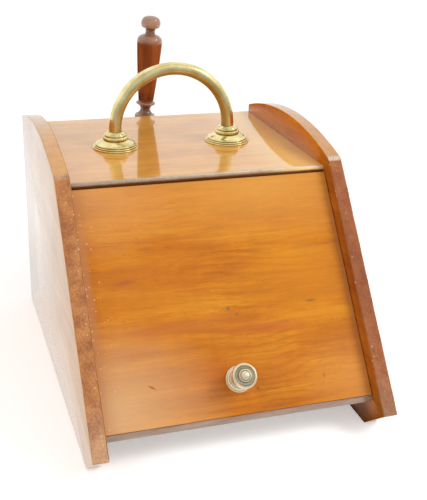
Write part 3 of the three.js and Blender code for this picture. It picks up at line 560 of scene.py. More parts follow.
for name, side in (("left", -1), ("right", 1)):
    x0, x1 = sorted((side * inner_half, side * half_width))
    rings = board_rings(side_outline, x0, x1, 1.3, seed=5 + side)
    board = new_piece(f"polished_side_{name}", *loft(rings), side_wood[name])
    crown_wear, toe_wear, corner_wear, chips, dirt = SIDE_WEAR[name]
    outer_rings, inner_rings = (slice(0, 4), slice(-4, None))[::-side]
    edges, crowned, worn, grime, dull, chipped = np.zeros((6, *rings.shape[:2]))
    shows_marks_and_painted_light = np.ones_like(edges)
    edges[3:-3] = 1
    on_crown = (rings[..., 2] > front_top[1] + 1) & (edges > 0)
    crowned[on_crown] = crown_wear
    on_slope = (np.abs((rings[..., 1:] - toe) @ inward) < 1.5) & (edges > 0)
    from_toe = np.linalg.norm(rings[on_slope][:, 1:] - toe, axis=1)
    worn[on_slope] = toe_wear * np.clip(1 - from_toe / TOE_REACH, 0, 1)
    worn[(near_line(rings, front_top, 2.0) > 0.5) & (edges > 0)] = corner_wear
    from_inside = np.abs(rings[on_slope][:, 0]) - inner_half
    chipped[on_slope] = chips * np.interp(from_inside, (0, CHIP_REACH), (1, 0))
    grime[inner_rings] = dirt
    grime[~on_slope] = 0
    dull[on_slope] = 0.65
    dull[inner_rings] = 1
    shows_marks_and_painted_light[outer_rings] = 0
    for attribute, values, middles in (
        ("edge", edges, (0, 0)),
        ("crown", crowned, (0, 0)),
        ("worn", worn, (0, 0)),
        ("grime", grime, (0, 0)),
        ("chipped", chipped, (0, 0)),
        ("dull", dull, (0, 1)[::-side]),
        ("shows_marks_and_painted_light", shows_marks_and_painted_light, (0, 1)[::-side]),
    ):
        mark(board, attribute, np.append(values.ravel(), middles))
    cut_boxes(board, housings(side))
    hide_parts(f"side_board_{name}")
    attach(board, "carcass")

# ---------------------------------------------------------------- top board
# A 12 mm board housed in the sides. Its front edge is planed to the flap's slope, rounded above and cut
# back underneath, so that the flap's top edge can turn beneath it.

NOSE_ROUND = 3.4

under_front = nose_tip + inward * (nose_tip[1] - top_low) / -inward[1]
top_corners = [(rear_y, top_low), (rear_y, top_high), nose_top, nose_tip, under_front]
top_outline = rounded(top_corners, (0.8, 1.5, NOSE_ROUND, 1.2, 0.6), 4.0)
shoulder = inner_half - FIT


def housed_board(name, outline, stop, material, node, highlight_at=None):
    """A board across the box, from its outline in Y and Z. Past each shoulder it goes on as a tongue: the
    same outline, with what lies in front of the stop drawn back onto a plane there. The last argument, when
    given, is the nose's rounded arris in Y and Z: a painted highlight is drawn along it, faint at the left
    and strong at the right, and the face below it takes the grey-tan edge tones."""
    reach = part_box(node)[1].x * 1000
    tongue = outline.copy()
    front = tongue[:, 0] < stop
    low, high = tongue[:, 1].min(), tongue[:, 1].max()
    tongue[front] = np.linspace((stop, high), (stop, low), front.sum())
    rings = board_rings(outline, -shoulder, shoulder, 0.5, seed=3, steps=70)
    tongues = [np.insert(tongue, 0, x, axis=1) for x in (-reach, -shoulder, shoulder, reach)]
    points, faces = loft([*tongues[:2], *rings, *tongues[2:]])
    made = new_piece(name, points, faces, material)
    # The nose's rounded arris gets a painted highlight, faint at the left end and strong at the right.
    if highlight_at is not None:
        mark(made, "shows_marks_and_painted_light", np.ones(len(points)))
        mark(made, "edge", near_line(points, highlight_at - along * NOSE_FACE / 2, 2.2))
        highlight_share = np.interp(points[:, 0], (-inner_half, 0, inner_half), (0.1, 0.5, 0.95))
        mark(made, "worn", highlight_share * near_line(points, highlight_at, 0.9))
    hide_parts(node)
    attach(made, "carcass")


top_wood = mahogany(
    "mahogany_top_board",
    tones=(0xD48A1C, 0xE09820, 0xE8A228, 0xEEAE34),
    edge_tones=(0x86684A, 0xA08060),
    shift=(40, 0, 11),
    # A painted reflection: a pale band on the top board beside the right board.
    marks_and_painted_light=((172, 278, 52, 900, 0, 0xFFD078, 0.75),),
    gloss=2.12,
    lines=0.06,
)
top_stop = nose_top[0] + HOUSING_STOP
housed_board("polished_top", top_outline, top_stop, top_wood, "top_board", nose_top)

# ---------------------------------------------------------------- bottom board
# The 9 mm board under the coal. Only its rounded front edge shows, as a narrow band below the flap, where
# the pale floor lights it. Its grey tones are a painted reflection of that floor.

low, high = (np.array(corner) * 1000 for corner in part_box("bottom_board"))
bottom_corners = [(high[1], low[2]), (high[1], high[2]), (low[1], high[2]), (low[1], low[2])]
band_wood = mahogany("mahogany_bottom_board", tones=(0x7E6250, 0x927560, 0x9F8370, 0xAC9282))
bottom_outline = rounded(bottom_corners, (0.5, 0.5, 1.0, 3.0), 4.0)
bottom_stop = low[1] + HOUSING_STOP
housed_board("housed_bottom", bottom_outline, bottom_stop, band_wood, "bottom_board")

# ---------------------------------------------------------------- back board, stops and glue blocks
# Plain work inside and behind: a stained back board, the strips that the flap closes against, and pine
# blocks rubbed into the corners with hot glue. None of it was ever polished.


def dress(names, material):
    """Gives a finish to pieces of the frame that keep their own shape."""
    for name in names:
        frame["nodes"][name].data.materials.clear()
        frame["nodes"][name].data.materials.append(material)


back_wood = mahogany(
    "mahogany_unpolished",
    tones=(0x5E3218, 0x744322, 0x84502A, 0x935E34),
    shift=(17, 5, 3),
    coat=0.15,
)
dress(("back_board", "flap_stop_left", "flap_stop_right"), back_wood)

pine, tree = new_material("rubbed_pine_blocks")
place = put(tree, "TexCoord").outputs["Object"]
growth = put(tree, "Mapping", {0: place, "Scale": (400, 12, 400)})
rings = put(tree, "TexNoise", {"Vector": growth, "Scale": 1.0, "Detail": 3.0, "Distortion": 0.6})
tone = put(tree, "ValToRGB", {0: rings}, stops=[(0.35, 0x8A5E34), (0.65, 0xC0935A)])
shader = put(tree, "BsdfPrincipled", {"Base Color": tone, "Roughness": 0.8})
put(tree, "OutputMaterial", {"Surface": shader})
dress([name for name in frame["nodes"] if "_block_" in name], pine)

# ---------------------------------------------------------------- flap
# A 12 mm board that swings on pins in its top corners. Its face has the richest figure, a few old bruises,
# painted reflections and painted shade, and pale chips in its polish down the left side.

FLAP_THICKNESS = 12
FLAP_GAP = 1
PIVOT_DROP = 8
FLAP_CHIP_REACH = 28

low, high = (np.array(corner) * 1000 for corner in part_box("front_flap"))
hinge = next(joint for joint in frame["joints"] if joint["name"] == "flap_hinge")
pivot = np.array(hinge["pos_m"][1:]) * 1000
face_foot = np.array((low[1], low[2]))
face_top = pivot - inward * FLAP_THICKNESS / 2 + along * PIVOT_DROP
inner_top = face_top + inward * FLAP_THICKNESS
inner_foot = inner_top - along * (inner_top[1] - low[2]) / along[1]
flap_corners = [face_foot, inner_foot, inner_top, face_top]
flap_outline = rounded(flap_corners, (0.8, 0.8, 0.8, 1.8), 4.0)

# First the broad changes of tone, painted reflections and painted shade, then the small marks, dents and
# knots.
FLAP_MARKS_AND_PAINTED_LIGHT = (
    (-105, 160, 90, 60, 0, 0xBC6818, 0.55),
    # Pale patches at the left and along the top: painted reflections of the soft lamps in the polish.
    (-150, 20, 130, 95, 0, 0xDBAE7E, 0.80),
    (-150, 272, 120, 80, 0, 0xD49A66, 0.55),
    (70, 268, 190, 70, 0, 0xE4A44C, 0.60),
    # Broad changes of tone.
    (110, 150, 90, 70, 0, 0xDC8E1C, 0.40),
    (150, 24, 80, 60, 0, 0xDA9650, 0.50),
    (-20, 46, 26, 30, 0, 0xC8641C, 0.30),
    # Painted shade under the top board's nose, and painted shade and reflection of the side boards along both
    # margins.
    (0, 286, 260, 13, 0, 0xA8784E, 0.75),
    (-154, 160, 8, 170, 0, 0xC4885E, 0.75),
    (156, 140, 7, 170, 0, 0xC48456, 0.75),
    (-111, 163, 14, 3.0, 4, 0x8A4A1E, 0.75),
    (-111, 163, 26, 8.0, 4, 0xB5652A, 0.55),
    (3, 121, 3.4, 3.4, 0, 0x6E5A3C, 0.85),
    (12, 113, 2.4, 2.0, 0, 0x5A5A34, 0.8),
    (104, 119, 9, 1.7, 0, 0x7A4A28, 0.8),
    (-98, 44, 6, 1.4, -32, 0x7A4420, 0.9),
    (21, 27, 2.2, 2.4, 0, 0x7A3A1A, 0.8),
    (102, 31, 2.0, 4.0, 0, 0x8A5628, 0.6),
    (40, 95, 62, 9.0, -3, 0xBE6426, 0.75),
    (-60, 105, 90, 12.0, 3, 0xC87530, 0.5),
    (52, 47, 34, 26, 0, 0xC06828, 0.32),
)
flap_wood = mahogany(
    "mahogany_flap",
    tones=(0xB46210, 0xC06E12, 0xCA7914, 0xD4881C),
    turn=(np.pi / 2 - SLOPE, 0, 0),
    shift=(0, 0, -(face_foot @ along)),
    marks_and_painted_light=FLAP_MARKS_AND_PAINTED_LIGHT,
    coat=0.35,
    gloss=1.5,
    lines=0.20,
)
flap_half = inner_half - FLAP_GAP
rings = board_rings(flap_outline, -flap_half, flap_half, 0.7, seed=9, steps=70)
points, faces = loft(rings)
flap = new_piece("polished_flap", points, faces, flap_wood)
mark(flap, "chipped", np.interp(points[:, 0] + flap_half, (0, FLAP_CHIP_REACH), (1, 0)))
mark(flap, "shows_marks_and_painted_light", np.ones(len(points)))
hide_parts("front_flap")
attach(flap, "flap")

# ---------------------------------------------------------------- carrying handle
# A half hoop of 16 mm brass tube, polished by hands, on two turned rosettes. Studs in its ends go down
# through the top board to a washer and a nut.

HANDLE_TUBE = 16
ROSETTE_RINGS = 3
RING_RISE = 2
RING_STEP = 1.7
COLLAR_RADIUS = 16
COLLAR_HEIGHT = 4.4
COLLAR_BEADS = 24
LIP_THICKNESS = 3
LIP_STEP = 2
LIP_DROP = 2.6


def bead(radius, low, high, count=8):
    """A half-round bead on a turned profile, out to a radius, between two heights."""
    half = (high - low) / 2
    turn = np.linspace(-np.pi / 2, np.pi / 2, count + 1)
    return np.stack((radius - half + half * np.cos(turn), low + half + half * np.sin(turn)), 1)


def sweep(start, control, end, count=10):
    """A smooth curve on a turned profile that leaves and arrives in the direction of its control point."""
    t = np.linspace(0, 1, count + 1)[:, None]
    start, control, end = map(np.array, (start, control, end))
    return (1 - t) ** 2 * start + 2 * t * (1 - t) * control + t**2 * end


def turned_rings(profile, middle, axis, sides=96, swell=None):
    """The rings of a turned piece: its profile of radius and height carried round an axis. swell adds to the
    radius, as a function of height and angle."""
    axis = np.array(axis) / np.linalg.norm(axis)
    side = np.array((1.0, 0, 0)) - axis[0] * axis
    side /= np.linalg.norm(side)
    other = np.cross(axis, side)
    turn = np.linspace(0, 2 * np.pi, sides, endpoint=False)
    radius, height = profile[:, :1], profile[:, 1:]
    radius = radius + (swell(height, turn) if swell else 0 * turn)
    out = np.cos(turn)[:, None] * side + np.sin(turn)[:, None] * other
    return np.array(middle) + radius[..., None] * out + height[..., None] * axis


def recess(profile, width=3):
    """How far each point of a profile lies inside its neighbours' average radius, from 0 to 1."""
    radius = profile[:, 0]
    padded = np.pad(radius, width, mode="edge")
    mean = np.convolve(padded, np.ones(2 * width + 1) / (2 * width + 1), "valid")
    return np.clip((mean - radius) / 0.5, 0, 1)


def brass(name, bright, dull, dirt, rough, scratch):
    """Cast or drawn brass: yellow metal whose polish clouds and browns in patches. A piece's recess number is
    how much dirt lies in its hollows, and on the hoop it draws a painted reflection along the inner side."""
    material, tree = new_material(name)
    place = put(tree, "TexCoord").outputs["Object"]
    clouds = put(tree, "TexNoise", {"Vector": place, "Scale": 55.0, "Detail": 4.0, "Roughness": 0.6})
    tone = put(tree, "ValToRGB", {0: clouds}, stops=[(0.36, dull), (0.62, bright)])
    hollow = put(tree, "Attribute", attribute_name="recess").outputs["Fac"]
    cover = put(tree, "Math", {0: hollow, 1: 0.85}, operation="MULTIPLY")
    tone = put(tree, "Mix", {0: cover, 6: tone, 7: colour(dirt)}, data_type="RGBA").outputs[2]
    # Polishing scratches are drawn 1.5 mm apart, far coarser than real ones, so that they show.
    rubbed = put(tree, "Mapping", {0: place, "Scale": (500, 500, 120)})
    lines = put(tree, "TexNoise", {"Vector": rubbed, "Scale": 1.0, "Detail": 3.0})
    roughness = put(tree, "MapRange", {0: clouds, 1: 0.3, 2: 0.7, 3: rough * 1.5, 4: rough * 0.7})
    bump = put(tree, "Bump", {"Strength": scratch, "Distance": 0.0003, "Height": lines})
    metal = {"Base Color": tone, "Metallic": 1.0, "Roughness": roughness, "Normal": bump}
    shader = put(tree, "BsdfPrincipled", metal)
    put(tree, "OutputMaterial", {"Surface": shader})
    return material


handle_brass = brass("brass_hand_polished", 0xFEF0B6, 0xE0CE8C, 0x745C32, 0.18, 0.20)

low, high = (np.array(corner) * 1000 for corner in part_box("handle_arch"))
handle_y = (low[1] + high[1]) / 2
tube = HANDLE_TUBE / 2
leg_x = high[0] - tube
spring = high[2] - tube - leg_x
leg_length = spring - low[2]
hoop = np.pi * leg_x
run = np.linspace(0, 2 * leg_length + hoop, 220)
turn = np.clip((run - leg_length) / leg_x, 0, np.pi)
rise = spring + np.minimum(0, run - leg_length) - np.maximum(0, run - leg_length - hoop)
middle = np.stack((-leg_x * np.cos(turn), 0 * run + handle_y, rise + leg_x * np.sin(turn)), 1)
outward = np.stack((-np.cos(turn), 0 * run, np.sin(turn)), 1)
round_tube = np.linspace(0, 2 * np.pi, 96, endpoint=False)
worn = tube + wander(run[:, None] + 9 * np.sin(round_tube), 12, (97, 0.05), (41, 0.04), (17, 0.02))
drawn = round_tube + 0.05 * np.sin(run[:, None] / 31)
worn += 0.030 * np.sin(9 * drawn + 1.3) + 0.018 * np.sin(14 * drawn + 0.4)
rings = (
    middle[:, None]
    + (worn * np.cos(round_tube))[..., None] * outward[:, None]
    + (worn * np.sin(round_tube))[..., None] * np.array((0, 1, 0))
)
arch = new_piece("brass_hoop", *loft(rings), handle_brass)
# The hoop's inner side is darkened brown: a painted reflection of the wood below it.
underside_reflection = np.interp(np.cos(round_tube), (-0.7, 0.2), (0.75, 0))
mark(arch, "recess", np.append(np.tile(underside_reflection, len(run)), (0, 0)))
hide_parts("handle_arch")
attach(arch, "carcass")

low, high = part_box("handle_rosette_right")
rosette_rise = (high.z - low.z) * 1000
lip_high = rosette_rise - LIP_DROP
collar_high = lip_high - LIP_THICKNESS
collar_low = collar_high - COLLAR_HEIGHT


def gadroons(height, turn):
    """Upright lobes round the collar, cut a little into its bead."""
    window = np.clip(np.minimum(height - collar_low, collar_high - height) / 1.2, 0, 1)
    return -0.9 * window * (1 - np.abs(np.sin(turn * COLLAR_BEADS / 2))) ** 2


for name, side in (("left", -1), ("right", 1)):
    low, high = (np.array(corner) * 1000 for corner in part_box(f"handle_rosette_{name}"))
    rosette_radius = (high[0] - low[0]) / 2
    rings_top = ROSETTE_RINGS * RING_RISE
    bore = tube + FIT
    profile = [
        bead(rosette_radius - i * RING_STEP, i * RING_RISE, (i + 1) * RING_RISE) for i in range(ROSETTE_RINGS)
    ]
    profile += [
        sweep(
            (rosette_radius - ROSETTE_RINGS * RING_STEP, rings_top),
            (COLLAR_RADIUS + 3.4, rings_top + 3),
            (COLLAR_RADIUS - 1.4, collar_low),
        ),
        bead(COLLAR_RADIUS, collar_low, collar_high, 12),
        bead(COLLAR_RADIUS - LIP_STEP, collar_high, lip_high),
        sweep(
            (COLLAR_RADIUS - LIP_STEP - 1.4, lip_high),
            (tube + 2.6, rosette_rise),
            (tube + 1, rosette_rise),
        ),
        [(bore, rosette_rise), (bore, 0)],
    ]
    profile = np.concatenate(profile)
    middle = ((low[0] + high[0]) / 2, handle_y, low[2])
    rings = turned_rings(profile, middle, (0, 0, 1), sides=COLLAR_BEADS * 8, swell=gadroons)
    rosette = new_piece(f"turned_rosette_{name}", *loft(rings, closed=True), handle_brass)
    mark(rosette, "recess", np.repeat(recess(profile), COLLAR_BEADS * 8))
    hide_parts(f"handle_rosette_{name}")
    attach(rosette, "carcass")

fixings = [f"handle_{part}_{side}" for part in ("stud", "washer", "nut") for side in ("left", "right")]
dress(fixings, handle_brass)

# ---------------------------------------------------------------- flap knob
# A turned brass cotton-reel knob on a thin rose, never polished as hard as the handle. Old polish has dried
# grey in the rings of its face.

KNOB_UP = 40
KNOB_RADIUS = 14.5
KNOB_RISE = 30
BOLT_BORE = 2.8
ROSE_RISE = 4
KNOB_NECK = 8.5
KNOB_LIP = 8.6
KNOB_DISH = 4.6
KNOB_RING = 7.4
KNOB_BUTTON = 5

knob_brass = brass("brass_aged_knob", 0xFFF2D2, 0xE8D6AE, 0x6E706A, 0.30, 0.15)
knob_place = np.array((0, *(face_foot + along * KNOB_UP)))
knob_axis = (0, *-inward)
rose_radius = (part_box("knob_rose")[1].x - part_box("knob_rose")[0].x) * 500
rose_step = ROSE_RISE / 2
profile = np.concatenate(
    (
        [(BOLT_BORE, FIT)],
        bead(rose_radius, FIT, rose_step),
        sweep((rose_radius - 1.6, rose_step), (rose_radius - 3, rose_step), (rose_radius - 4, ROSE_RISE)),
        [(BOLT_BORE, ROSE_RISE)],
    )
)
rose = new_piece("turned_rose", *loft(turned_rings(profile, knob_place, knob_axis), closed=True), knob_brass)
mark(rose, "recess", np.repeat(recess(profile), 96))
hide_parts("knob_rose")
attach(rose, "flap")

base, lip, dish = ROSE_RISE + FIT, KNOB_RISE - KNOB_LIP, KNOB_RISE - KNOB_DISH
waist = (base + lip) / 2
profile = np.concatenate(
    (
        [(0, base)],
        sweep((rose_radius - 4.4, base), (KNOB_NECK, base + 0.6), (KNOB_NECK, waist)),
        sweep((KNOB_NECK, waist), (KNOB_NECK + 0.4, lip - 1), (KNOB_RADIUS - 2.2, lip))[1:],
        bead(KNOB_RADIUS, lip, KNOB_RISE - 2.6, 14),
        sweep((KNOB_RADIUS - 3.4, KNOB_RISE - 3.4), (KNOB_RADIUS - 4, dish), (KNOB_RADIUS - 6, dish)),
        bead(KNOB_RING, dish, KNOB_RISE - 1.8, 10)[5:],
        sweep((KNOB_BUTTON + 0.2, KNOB_RISE - 2.6), (KNOB_BUTTON - 0.2, KNOB_RISE - 0.2), (0, KNOB_RISE)),
    )
)
knob = new_piece("turned_knob", *loft(turned_rings(profile, knob_place, knob_axis)), knob_brass)
shown = profile[profile[:, 0] > 1e-6]
dish_edge = KNOB_RADIUS - 3.4
dish_span = (KNOB_RING, KNOB_RING + 0.8, dish_edge, dish_edge + 0.8)
dish_grey = np.interp(shown[:, 0], dish_span, (0, 0.7, 0.7, 0))
dish_grey[shown[:, 1] < lip] = 0.25
dish_grey[np.abs(shown[:, 0] - KNOB_BUTTON - 0.2) < 0.25] = 0.8
mark(knob, "recess", np.append(np.repeat(dish_grey, 96), (0, 0)))
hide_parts("flap_knob")
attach(knob, "flap")
dress(("knob_bolt", "knob_washer", "knob_nut"), knob_brass)

# ---------------------------------------------------------------- pivots
# Two steel pins in the sides, and brass bushes let into the flap's ends. They are hidden by the closed flap.

steel, tree = new_material("bright_drawn_steel")
place = put(tree, "TexCoord").outputs["Object"]
drawn = put(tree, "Mapping", {0: place, "Scale": (90, 900, 900)})
lines = put(tree, "TexNoise", {"Vector": drawn, "Scale": 1.0, "Detail": 2.0})
tone = put(tree, "ValToRGB", {0: lines}, stops=[(0.3, 0x6E6A64), (0.7, 0x9C9A96)])
shader = put(tree, "BsdfPrincipled", {"Base Color": tone, "Metallic": 1.0, "Roughness": 0.42})
put(tree, "OutputMaterial", {"Surface": shader})
dress(("pivot_pin_left", "pivot_pin_right"), steel)
dress(("pivot_bush_left", "pivot_bush_right"), knob_brass)

# ---------------------------------------------------------------- liner
# A lift-out box of sheet steel with wired edges, japanned black. Coal has scoured it grey and brown.

liner_finish, tree = new_material("japanned_sheet_steel")
place = put(tree, "TexCoord").outputs["Object"]
scour = put(tree, "TexNoise", {"Vector": place, "Scale": 38.0, "Detail": 6.0, "Roughness": 0.65})
japan_tones = [(0.40, 0x1C1B1A), (0.52, 0x2A2725), (0.62, 0x3E3630), (0.72, 0x5A4030)]
tone = put(tree, "ValToRGB", {0: scour}, stops=japan_tones)
rough = put(tree, "MapRange", {0: scour, 1: 0.35, 2: 0.7, 3: 0.35, 4: 0.8})
bump = put(tree, "Bump", {"Strength": 0.3, "Distance": 0.0006, "Height": scour})
shader = put(tree, "BsdfPrincipled", {"Base Color": tone, "Roughness": rough, "Normal": bump})
put(tree, "OutputMaterial", {"Surface": shader})
dress([name for name in frame["nodes"] if name.startswith("liner_")], liner_finish)

# ---------------------------------------------------------------- shovel keeper and ledge
# Brass strip, 2 mm thick and bent round, holds the shovel against the back. Slotted brass screws fix it.

STRIP = 2
BEND = 3.2
KEEPER_HALF = 59
KEEPER_FLANGE_END = 82

back_brass = brass("brass_rolled_sheet", 0xCBAF60, 0x9F8442, 0x4E3F1C, 0.30, 0.25)


def bent_strip(name, path, lift, place):
    """A strip bent along a path in one plane. lift is its reach across that plane, low and high, and place
    turns the path's two numbers and the reach into a point."""
    line = rounded(path, BEND, 3.0, closed=False)
    tangent = np.gradient(line, axis=0)
    tangent /= np.linalg.norm(tangent, axis=1)[:, None]
    normal = np.stack((-tangent[:, 1], tangent[:, 0]), 1)
    half, (low, high) = STRIP / 2, lift
    section = rounded([(-half, low), (half, low), (half, high), (-half, high)], 0.6, 2.5)
    flat = line[:, None] + section[None, :, :1] * normal[:, None]
    reach = np.broadcast_to(section[:, 1], flat.shape[:2])
    made = new_piece(name, *loft(place(flat[..., 0], flat[..., 1], reach)), back_brass)
    mark(made, "recess", np.zeros(len(made.data.vertices)))
    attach(made, "carcass")
    return made


low, high = (np.array(corner) * 1000 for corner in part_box("shovel_keeper"))
near, far = low[1] + STRIP / 2, high[1] - STRIP / 2
half_path = [(KEEPER_FLANGE_END, near), (KEEPER_HALF, near), (KEEPER_HALF, far)]
keeper_path = half_path + [(-x, y) for x, y in half_path[::-1]]
keeper = bent_strip("bent_keeper", keeper_path, (low[2], high[2]), lambda a, b, c: np.stack((a, b, c), -1))
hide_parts("shovel_keeper")

low, high = (np.array(corner) * 1000 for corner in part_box("shovel_ledge"))
shelf = low[2] + STRIP / 2
ledge_path = [(near, high[2]), (near, shelf), (far, shelf), (far, shelf + 6)]
ledge = bent_strip("bent_ledge", ledge_path, (low[0], high[0]), lambda a, b, c: np.stack((c, a, b), -1))
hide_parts("shovel_ledge")

HEAD_RADIUS = 4
HEAD_RISE = 2.4
SHANK_RADIUS = 1.75
SHANK_DEPTH = 6.5
screw_profile = np.concatenate(
    (
        [(0, -SHANK_DEPTH), (SHANK_RADIUS, -SHANK_DEPTH + SHANK_RADIUS), (SHANK_RADIUS, STRIP)],
        [(HEAD_RADIUS, STRIP), (HEAD_RADIUS, STRIP + 0.5)],
        sweep((HEAD_RADIUS, STRIP + 0.5), (HEAD_RADIUS - 0.8, STRIP + HEAD_RISE), (0, STRIP + HEAD_RISE))[1:],
    )
)
screw_names = [name for name in frame["nodes"] if "_screw_" in name]
for name, slot_turn in zip(screw_names, (12, 75, -30, 48, 8, -64)):
    low, high = (np.array(corner) * 1000 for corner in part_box(name))
    rings = turned_rings(screw_profile, (0, 0, 0), (0, 0, 1), 32)
    screw = new_piece(f"slotted_{name}", *loft(rings), back_brass)
    cut_boxes(screw, [((-5, -0.5, STRIP + 1.4), (5, 0.5, 6))])
    spot = Vector(((low[0] + high[0]) / 2000, rear_y / 1000, (low[2] + high[2]) / 2000))
    turn = Matrix.Rotation(np.radians(-90), 4, "X") @ Matrix.Rotation(np.radians(slot_turn), 4, "Z")
    screw.data.transform(Matrix.Translation(spot) @ turn)
    mark(screw, "recess", np.zeros(len(screw.data.vertices)))
    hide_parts(name)
    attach(screw, "carcass")

# ---------------------------------------------------------------- shovel
# A small coal shovel: a brass pan folded from sheet, a turned shank riveted through its heel, a ferrule, and
# a long handle turned in dark mahogany. It leans a little in its keeper. The grip's turned parts stand in
# from its widest radius, r.

MOUTH_X = -10
MOUTH_HEIGHT = 52.03
PAN_LENGTH = 138
PAN_HALF = 52
PAN_BELOW_AXIS = 14
PAN_DEPTH = (12, 28)
PAN_CORNER = 10
PAN_SHEET = 1.2
SHANK_LENGTH = 40
FERRULE_LENGTH = 24
FERRULE_RADIUS = 10.5
GRIP_LENGTH = 152
GRIP_RADIUS = 17.7
BALL_RADIUS = 13.8
BALL_RISE = 16.4
GRIP_FOOT, GRIP_COVE, GRIP_RING, SWELL_DROP = 12, 14, 5, 18.6

lift = next(joint for joint in frame["joints"] if joint["name"] == "shovel_lift")
shovel_axis = np.array(lift["axis"]) / np.linalg.norm(lift["axis"])
shovel_side = np.array((shovel_axis[2], 0, -shovel_axis[0]))
grip_low, grip_high = (np.array(corner) * 1000 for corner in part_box("shovel_grip"))
shovel_y = (grip_low[1] + grip_high[1]) / 2
mouth = np.array((MOUTH_X, shovel_y, MOUTH_HEIGHT))


def in_shovel(x, y, z):
    """Points from across, behind and along the shovel's own leaning axis."""
    x, y, z = x[..., None], y[..., None], z[..., None]
    return mouth + x * shovel_side + y * np.array((0, 1, 0)) + z * shovel_axis


bend = np.radians(np.linspace(0, 90, 9))[1:-1]
wall = np.linspace(1, 0, 8)
arc_x = PAN_HALF - PAN_CORNER + PAN_CORNER * np.cos(bend)
arc_y = PAN_BELOW_AXIS - PAN_CORNER + PAN_CORNER * np.sin(bend)
floor_x = np.linspace(PAN_HALF - PAN_CORNER, -PAN_HALF + PAN_CORNER, 25)
pan_x = np.concatenate((np.full(8, PAN_HALF), arc_x, floor_x, -arc_x[::-1], np.full(8, -PAN_HALF)))
deep = PAN_BELOW_AXIS - PAN_CORNER
pan_y = np.concatenate((np.full(8, deep), arc_y, np.full(25, PAN_BELOW_AXIS), arc_y[::-1], np.full(8, deep)))
wall_up = np.concatenate((wall, np.zeros(len(bend) * 2 + 25), wall[::-1]))
corner_in = np.clip(np.abs(pan_x) - PAN_HALF + PAN_CORNER, 0, PAN_CORNER)
mouth_z = PAN_CORNER - np.sqrt(PAN_CORNER**2 - corner_in**2)
pan_z = mouth_z + (PAN_LENGTH - mouth_z) * np.linspace(0, 1, 40)[:, None]
depth = PAN_DEPTH[0] + (PAN_DEPTH[1] - PAN_DEPTH[0]) * pan_z / PAN_LENGTH
wall_y = pan_y - wall_up * (depth - PAN_CORNER)
pan_points = in_shovel(np.broadcast_to(pan_x, pan_z.shape), wall_y, pan_z)
rows, columns = pan_z.shape
index = np.arange(rows * columns).reshape(rows, columns)
quads = np.stack((index[:-1, :-1], index[:-1, 1:], index[1:, 1:], index[1:, :-1]), -1).reshape(-1, 4).tolist()
pan = new_piece("folded_pan", pan_points, quads + [index[-1].tolist()], back_brass)
thick = pan.modifiers.new("sheet", "SOLIDIFY")
thick.thickness = PAN_SHEET / 1000
thick.offset = -1
thick.use_even_offset = True
mark(pan, "recess", np.zeros(len(pan.data.vertices)))
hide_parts("shovel_pan")
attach(pan, "shovel")


def shovel_turning(name, profile, node, material, sides=64, worn=None):
    """A turned piece on the shovel's axis, from its profile of radius and height above the mouth. worn gives
    the wear of its polish as pairs of height and share, and the hollows hold grime."""
    made = new_piece(name, *loft(turned_rings(profile, mouth, shovel_axis, sides)), material)
    shown = profile[profile[:, 0] > 1e-6]
    mark(made, "recess", np.append(np.repeat(recess(shown), sides), (0, 0)))
    mark(made, "grime", np.append(np.repeat(0.6 * recess(shown, 5), sides), (0, 0)))
    if worn:
        rubbed = np.interp(shown[:, 1], *zip(*worn))
        mark(made, "worn", np.append(np.repeat(rubbed, sides), (0, 0)))
        mark(made, "dull", np.append(np.repeat(rubbed < 0.05, sides), (0, 0)))
    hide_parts(node)
    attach(made, "shovel")


shank_top = PAN_LENGTH + SHANK_LENGTH + 11.4
shank_foot = PAN_LENGTH + FIT
profile = np.concatenate(
    (
        [(0, PAN_LENGTH - 3.4)],
        sweep((2, PAN_LENGTH - 3.4), (5, PAN_LENGTH - 3.2), (5, PAN_LENGTH - 1.5), 4),
        [(3, PAN_LENGTH - 1.5), (3, shank_foot), (11, shank_foot)],
        bead(11, shank_foot, shank_foot + 1.8, 6),
        sweep((10, shank_foot + 1.9), (5, shank_foot + 3.2), (4.5, shank_foot + 12)),
        sweep((4.5, shank_foot + 16), (4.7, shank_foot + 18), (6.2, shank_foot + 18.6), 4),
        bead(7, shank_foot + 19, shank_foot + 24, 8),
        sweep((6.2, shank_foot + 24.4), (4.7, shank_foot + 25), (4.5, shank_foot + 27), 4),
        [(4.5, shank_top), (0, shank_top)],
    )
)
shovel_turning("turned_shank", profile, "shovel_shank", back_brass)

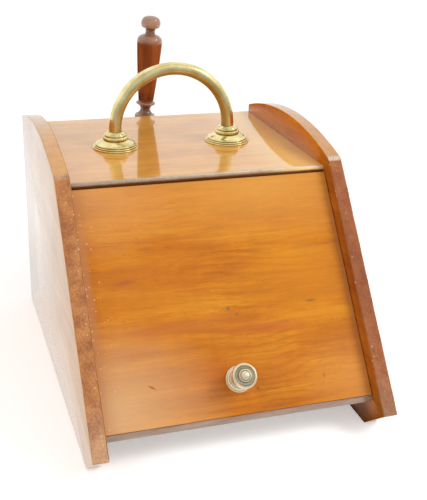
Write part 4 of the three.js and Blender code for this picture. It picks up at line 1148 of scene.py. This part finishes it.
ferrule = PAN_LENGTH + SHANK_LENGTH
ferrule_top = ferrule + FERRULE_LENGTH - FIT
ferrule_waist = FERRULE_RADIUS - 2.4
profile = np.concatenate(
    (
        [(0, ferrule), (FERRULE_RADIUS - 3.4, ferrule)],
        sweep(
            (FERRULE_RADIUS - 3.2, ferrule + 0.2),
            (ferrule_waist, ferrule + 0.6),
            (ferrule_waist, ferrule + 3),
        ),
        bead(FERRULE_RADIUS - 1.6, ferrule + 3.4, ferrule + 5.6, 6),
        [(ferrule_waist, ferrule + 6), (FERRULE_RADIUS - 1.2, ferrule_top - 4.4)],
        bead(FERRULE_RADIUS, ferrule_top - 4, ferrule_top, 10),
        [(0, ferrule_top)],
    )
)
shovel_turning("turned_ferrule", profile, "shovel_ferrule", back_brass)

grip_wood = mahogany(
    "mahogany_dark_handle",
    tones=(0x7A3E1E, 0x884824, 0x945028, 0xA05A30),
    turn=(0, np.radians(90), 0),
    gloss=1.8,
)
foot_z = ferrule + FERRULE_LENGTH
foot_top = foot_z + GRIP_FOOT
ring_low = foot_top + GRIP_COVE
ring_high = ring_low + GRIP_RING
grip_top = foot_z + GRIP_LENGTH
ball_low = grip_top - BALL_RISE
swell = ball_low - SWELL_DROP
neck = ball_low - 8.6
r = GRIP_RADIUS
ball = BALL_RADIUS - 1
profile = np.concatenate(
    (
        [(0, foot_z + 0.01)],
        sweep((r - 5.2, foot_z), (r - 1, foot_z + 5), (r - 3.6, foot_top)),
        sweep((r - 5, foot_top), (r - 14.8, (foot_top + ring_low) / 2), (r - 6.4, ring_low), 16),
        sweep((r - 5.8, ring_low), (r - 1, (ring_low + ring_high) / 2), (r - 6.9, ring_high)),
        sweep((r - 6.9, ring_high + 2), (r - 1.6, swell - 34), (r, swell), 24),
        sweep((r, swell), (r, swell + 7.4), (r - 10.4, neck), 14)[1:],
        sweep((r - 10.8, neck + 1), (r - 12, ball_low - 1.4), (BALL_RADIUS - 3, ball_low)),
        sweep((BALL_RADIUS - 1.6, ball_low + 0.6), (BALL_RADIUS + 1, ball_low + 5.6), (ball, ball_low + 10)),
        sweep((ball, ball_low + 10), (BALL_RADIUS - 2.6, grip_top), (0, grip_top))[1:],
    )
)
rubbed = [(0, 0.07), (ring_high, 0.07), (ring_high + 3, 0), (swell - 4, 0)]
rubbed += [(swell + 3, 0.14), (ball_low, 0.1), (ball_low + 3, 0.2)]
shovel_turning("turned_grip", profile, "shovel_grip", grip_wood, worn=rubbed)

# ---------------------------------------------------------------- size
low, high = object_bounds()
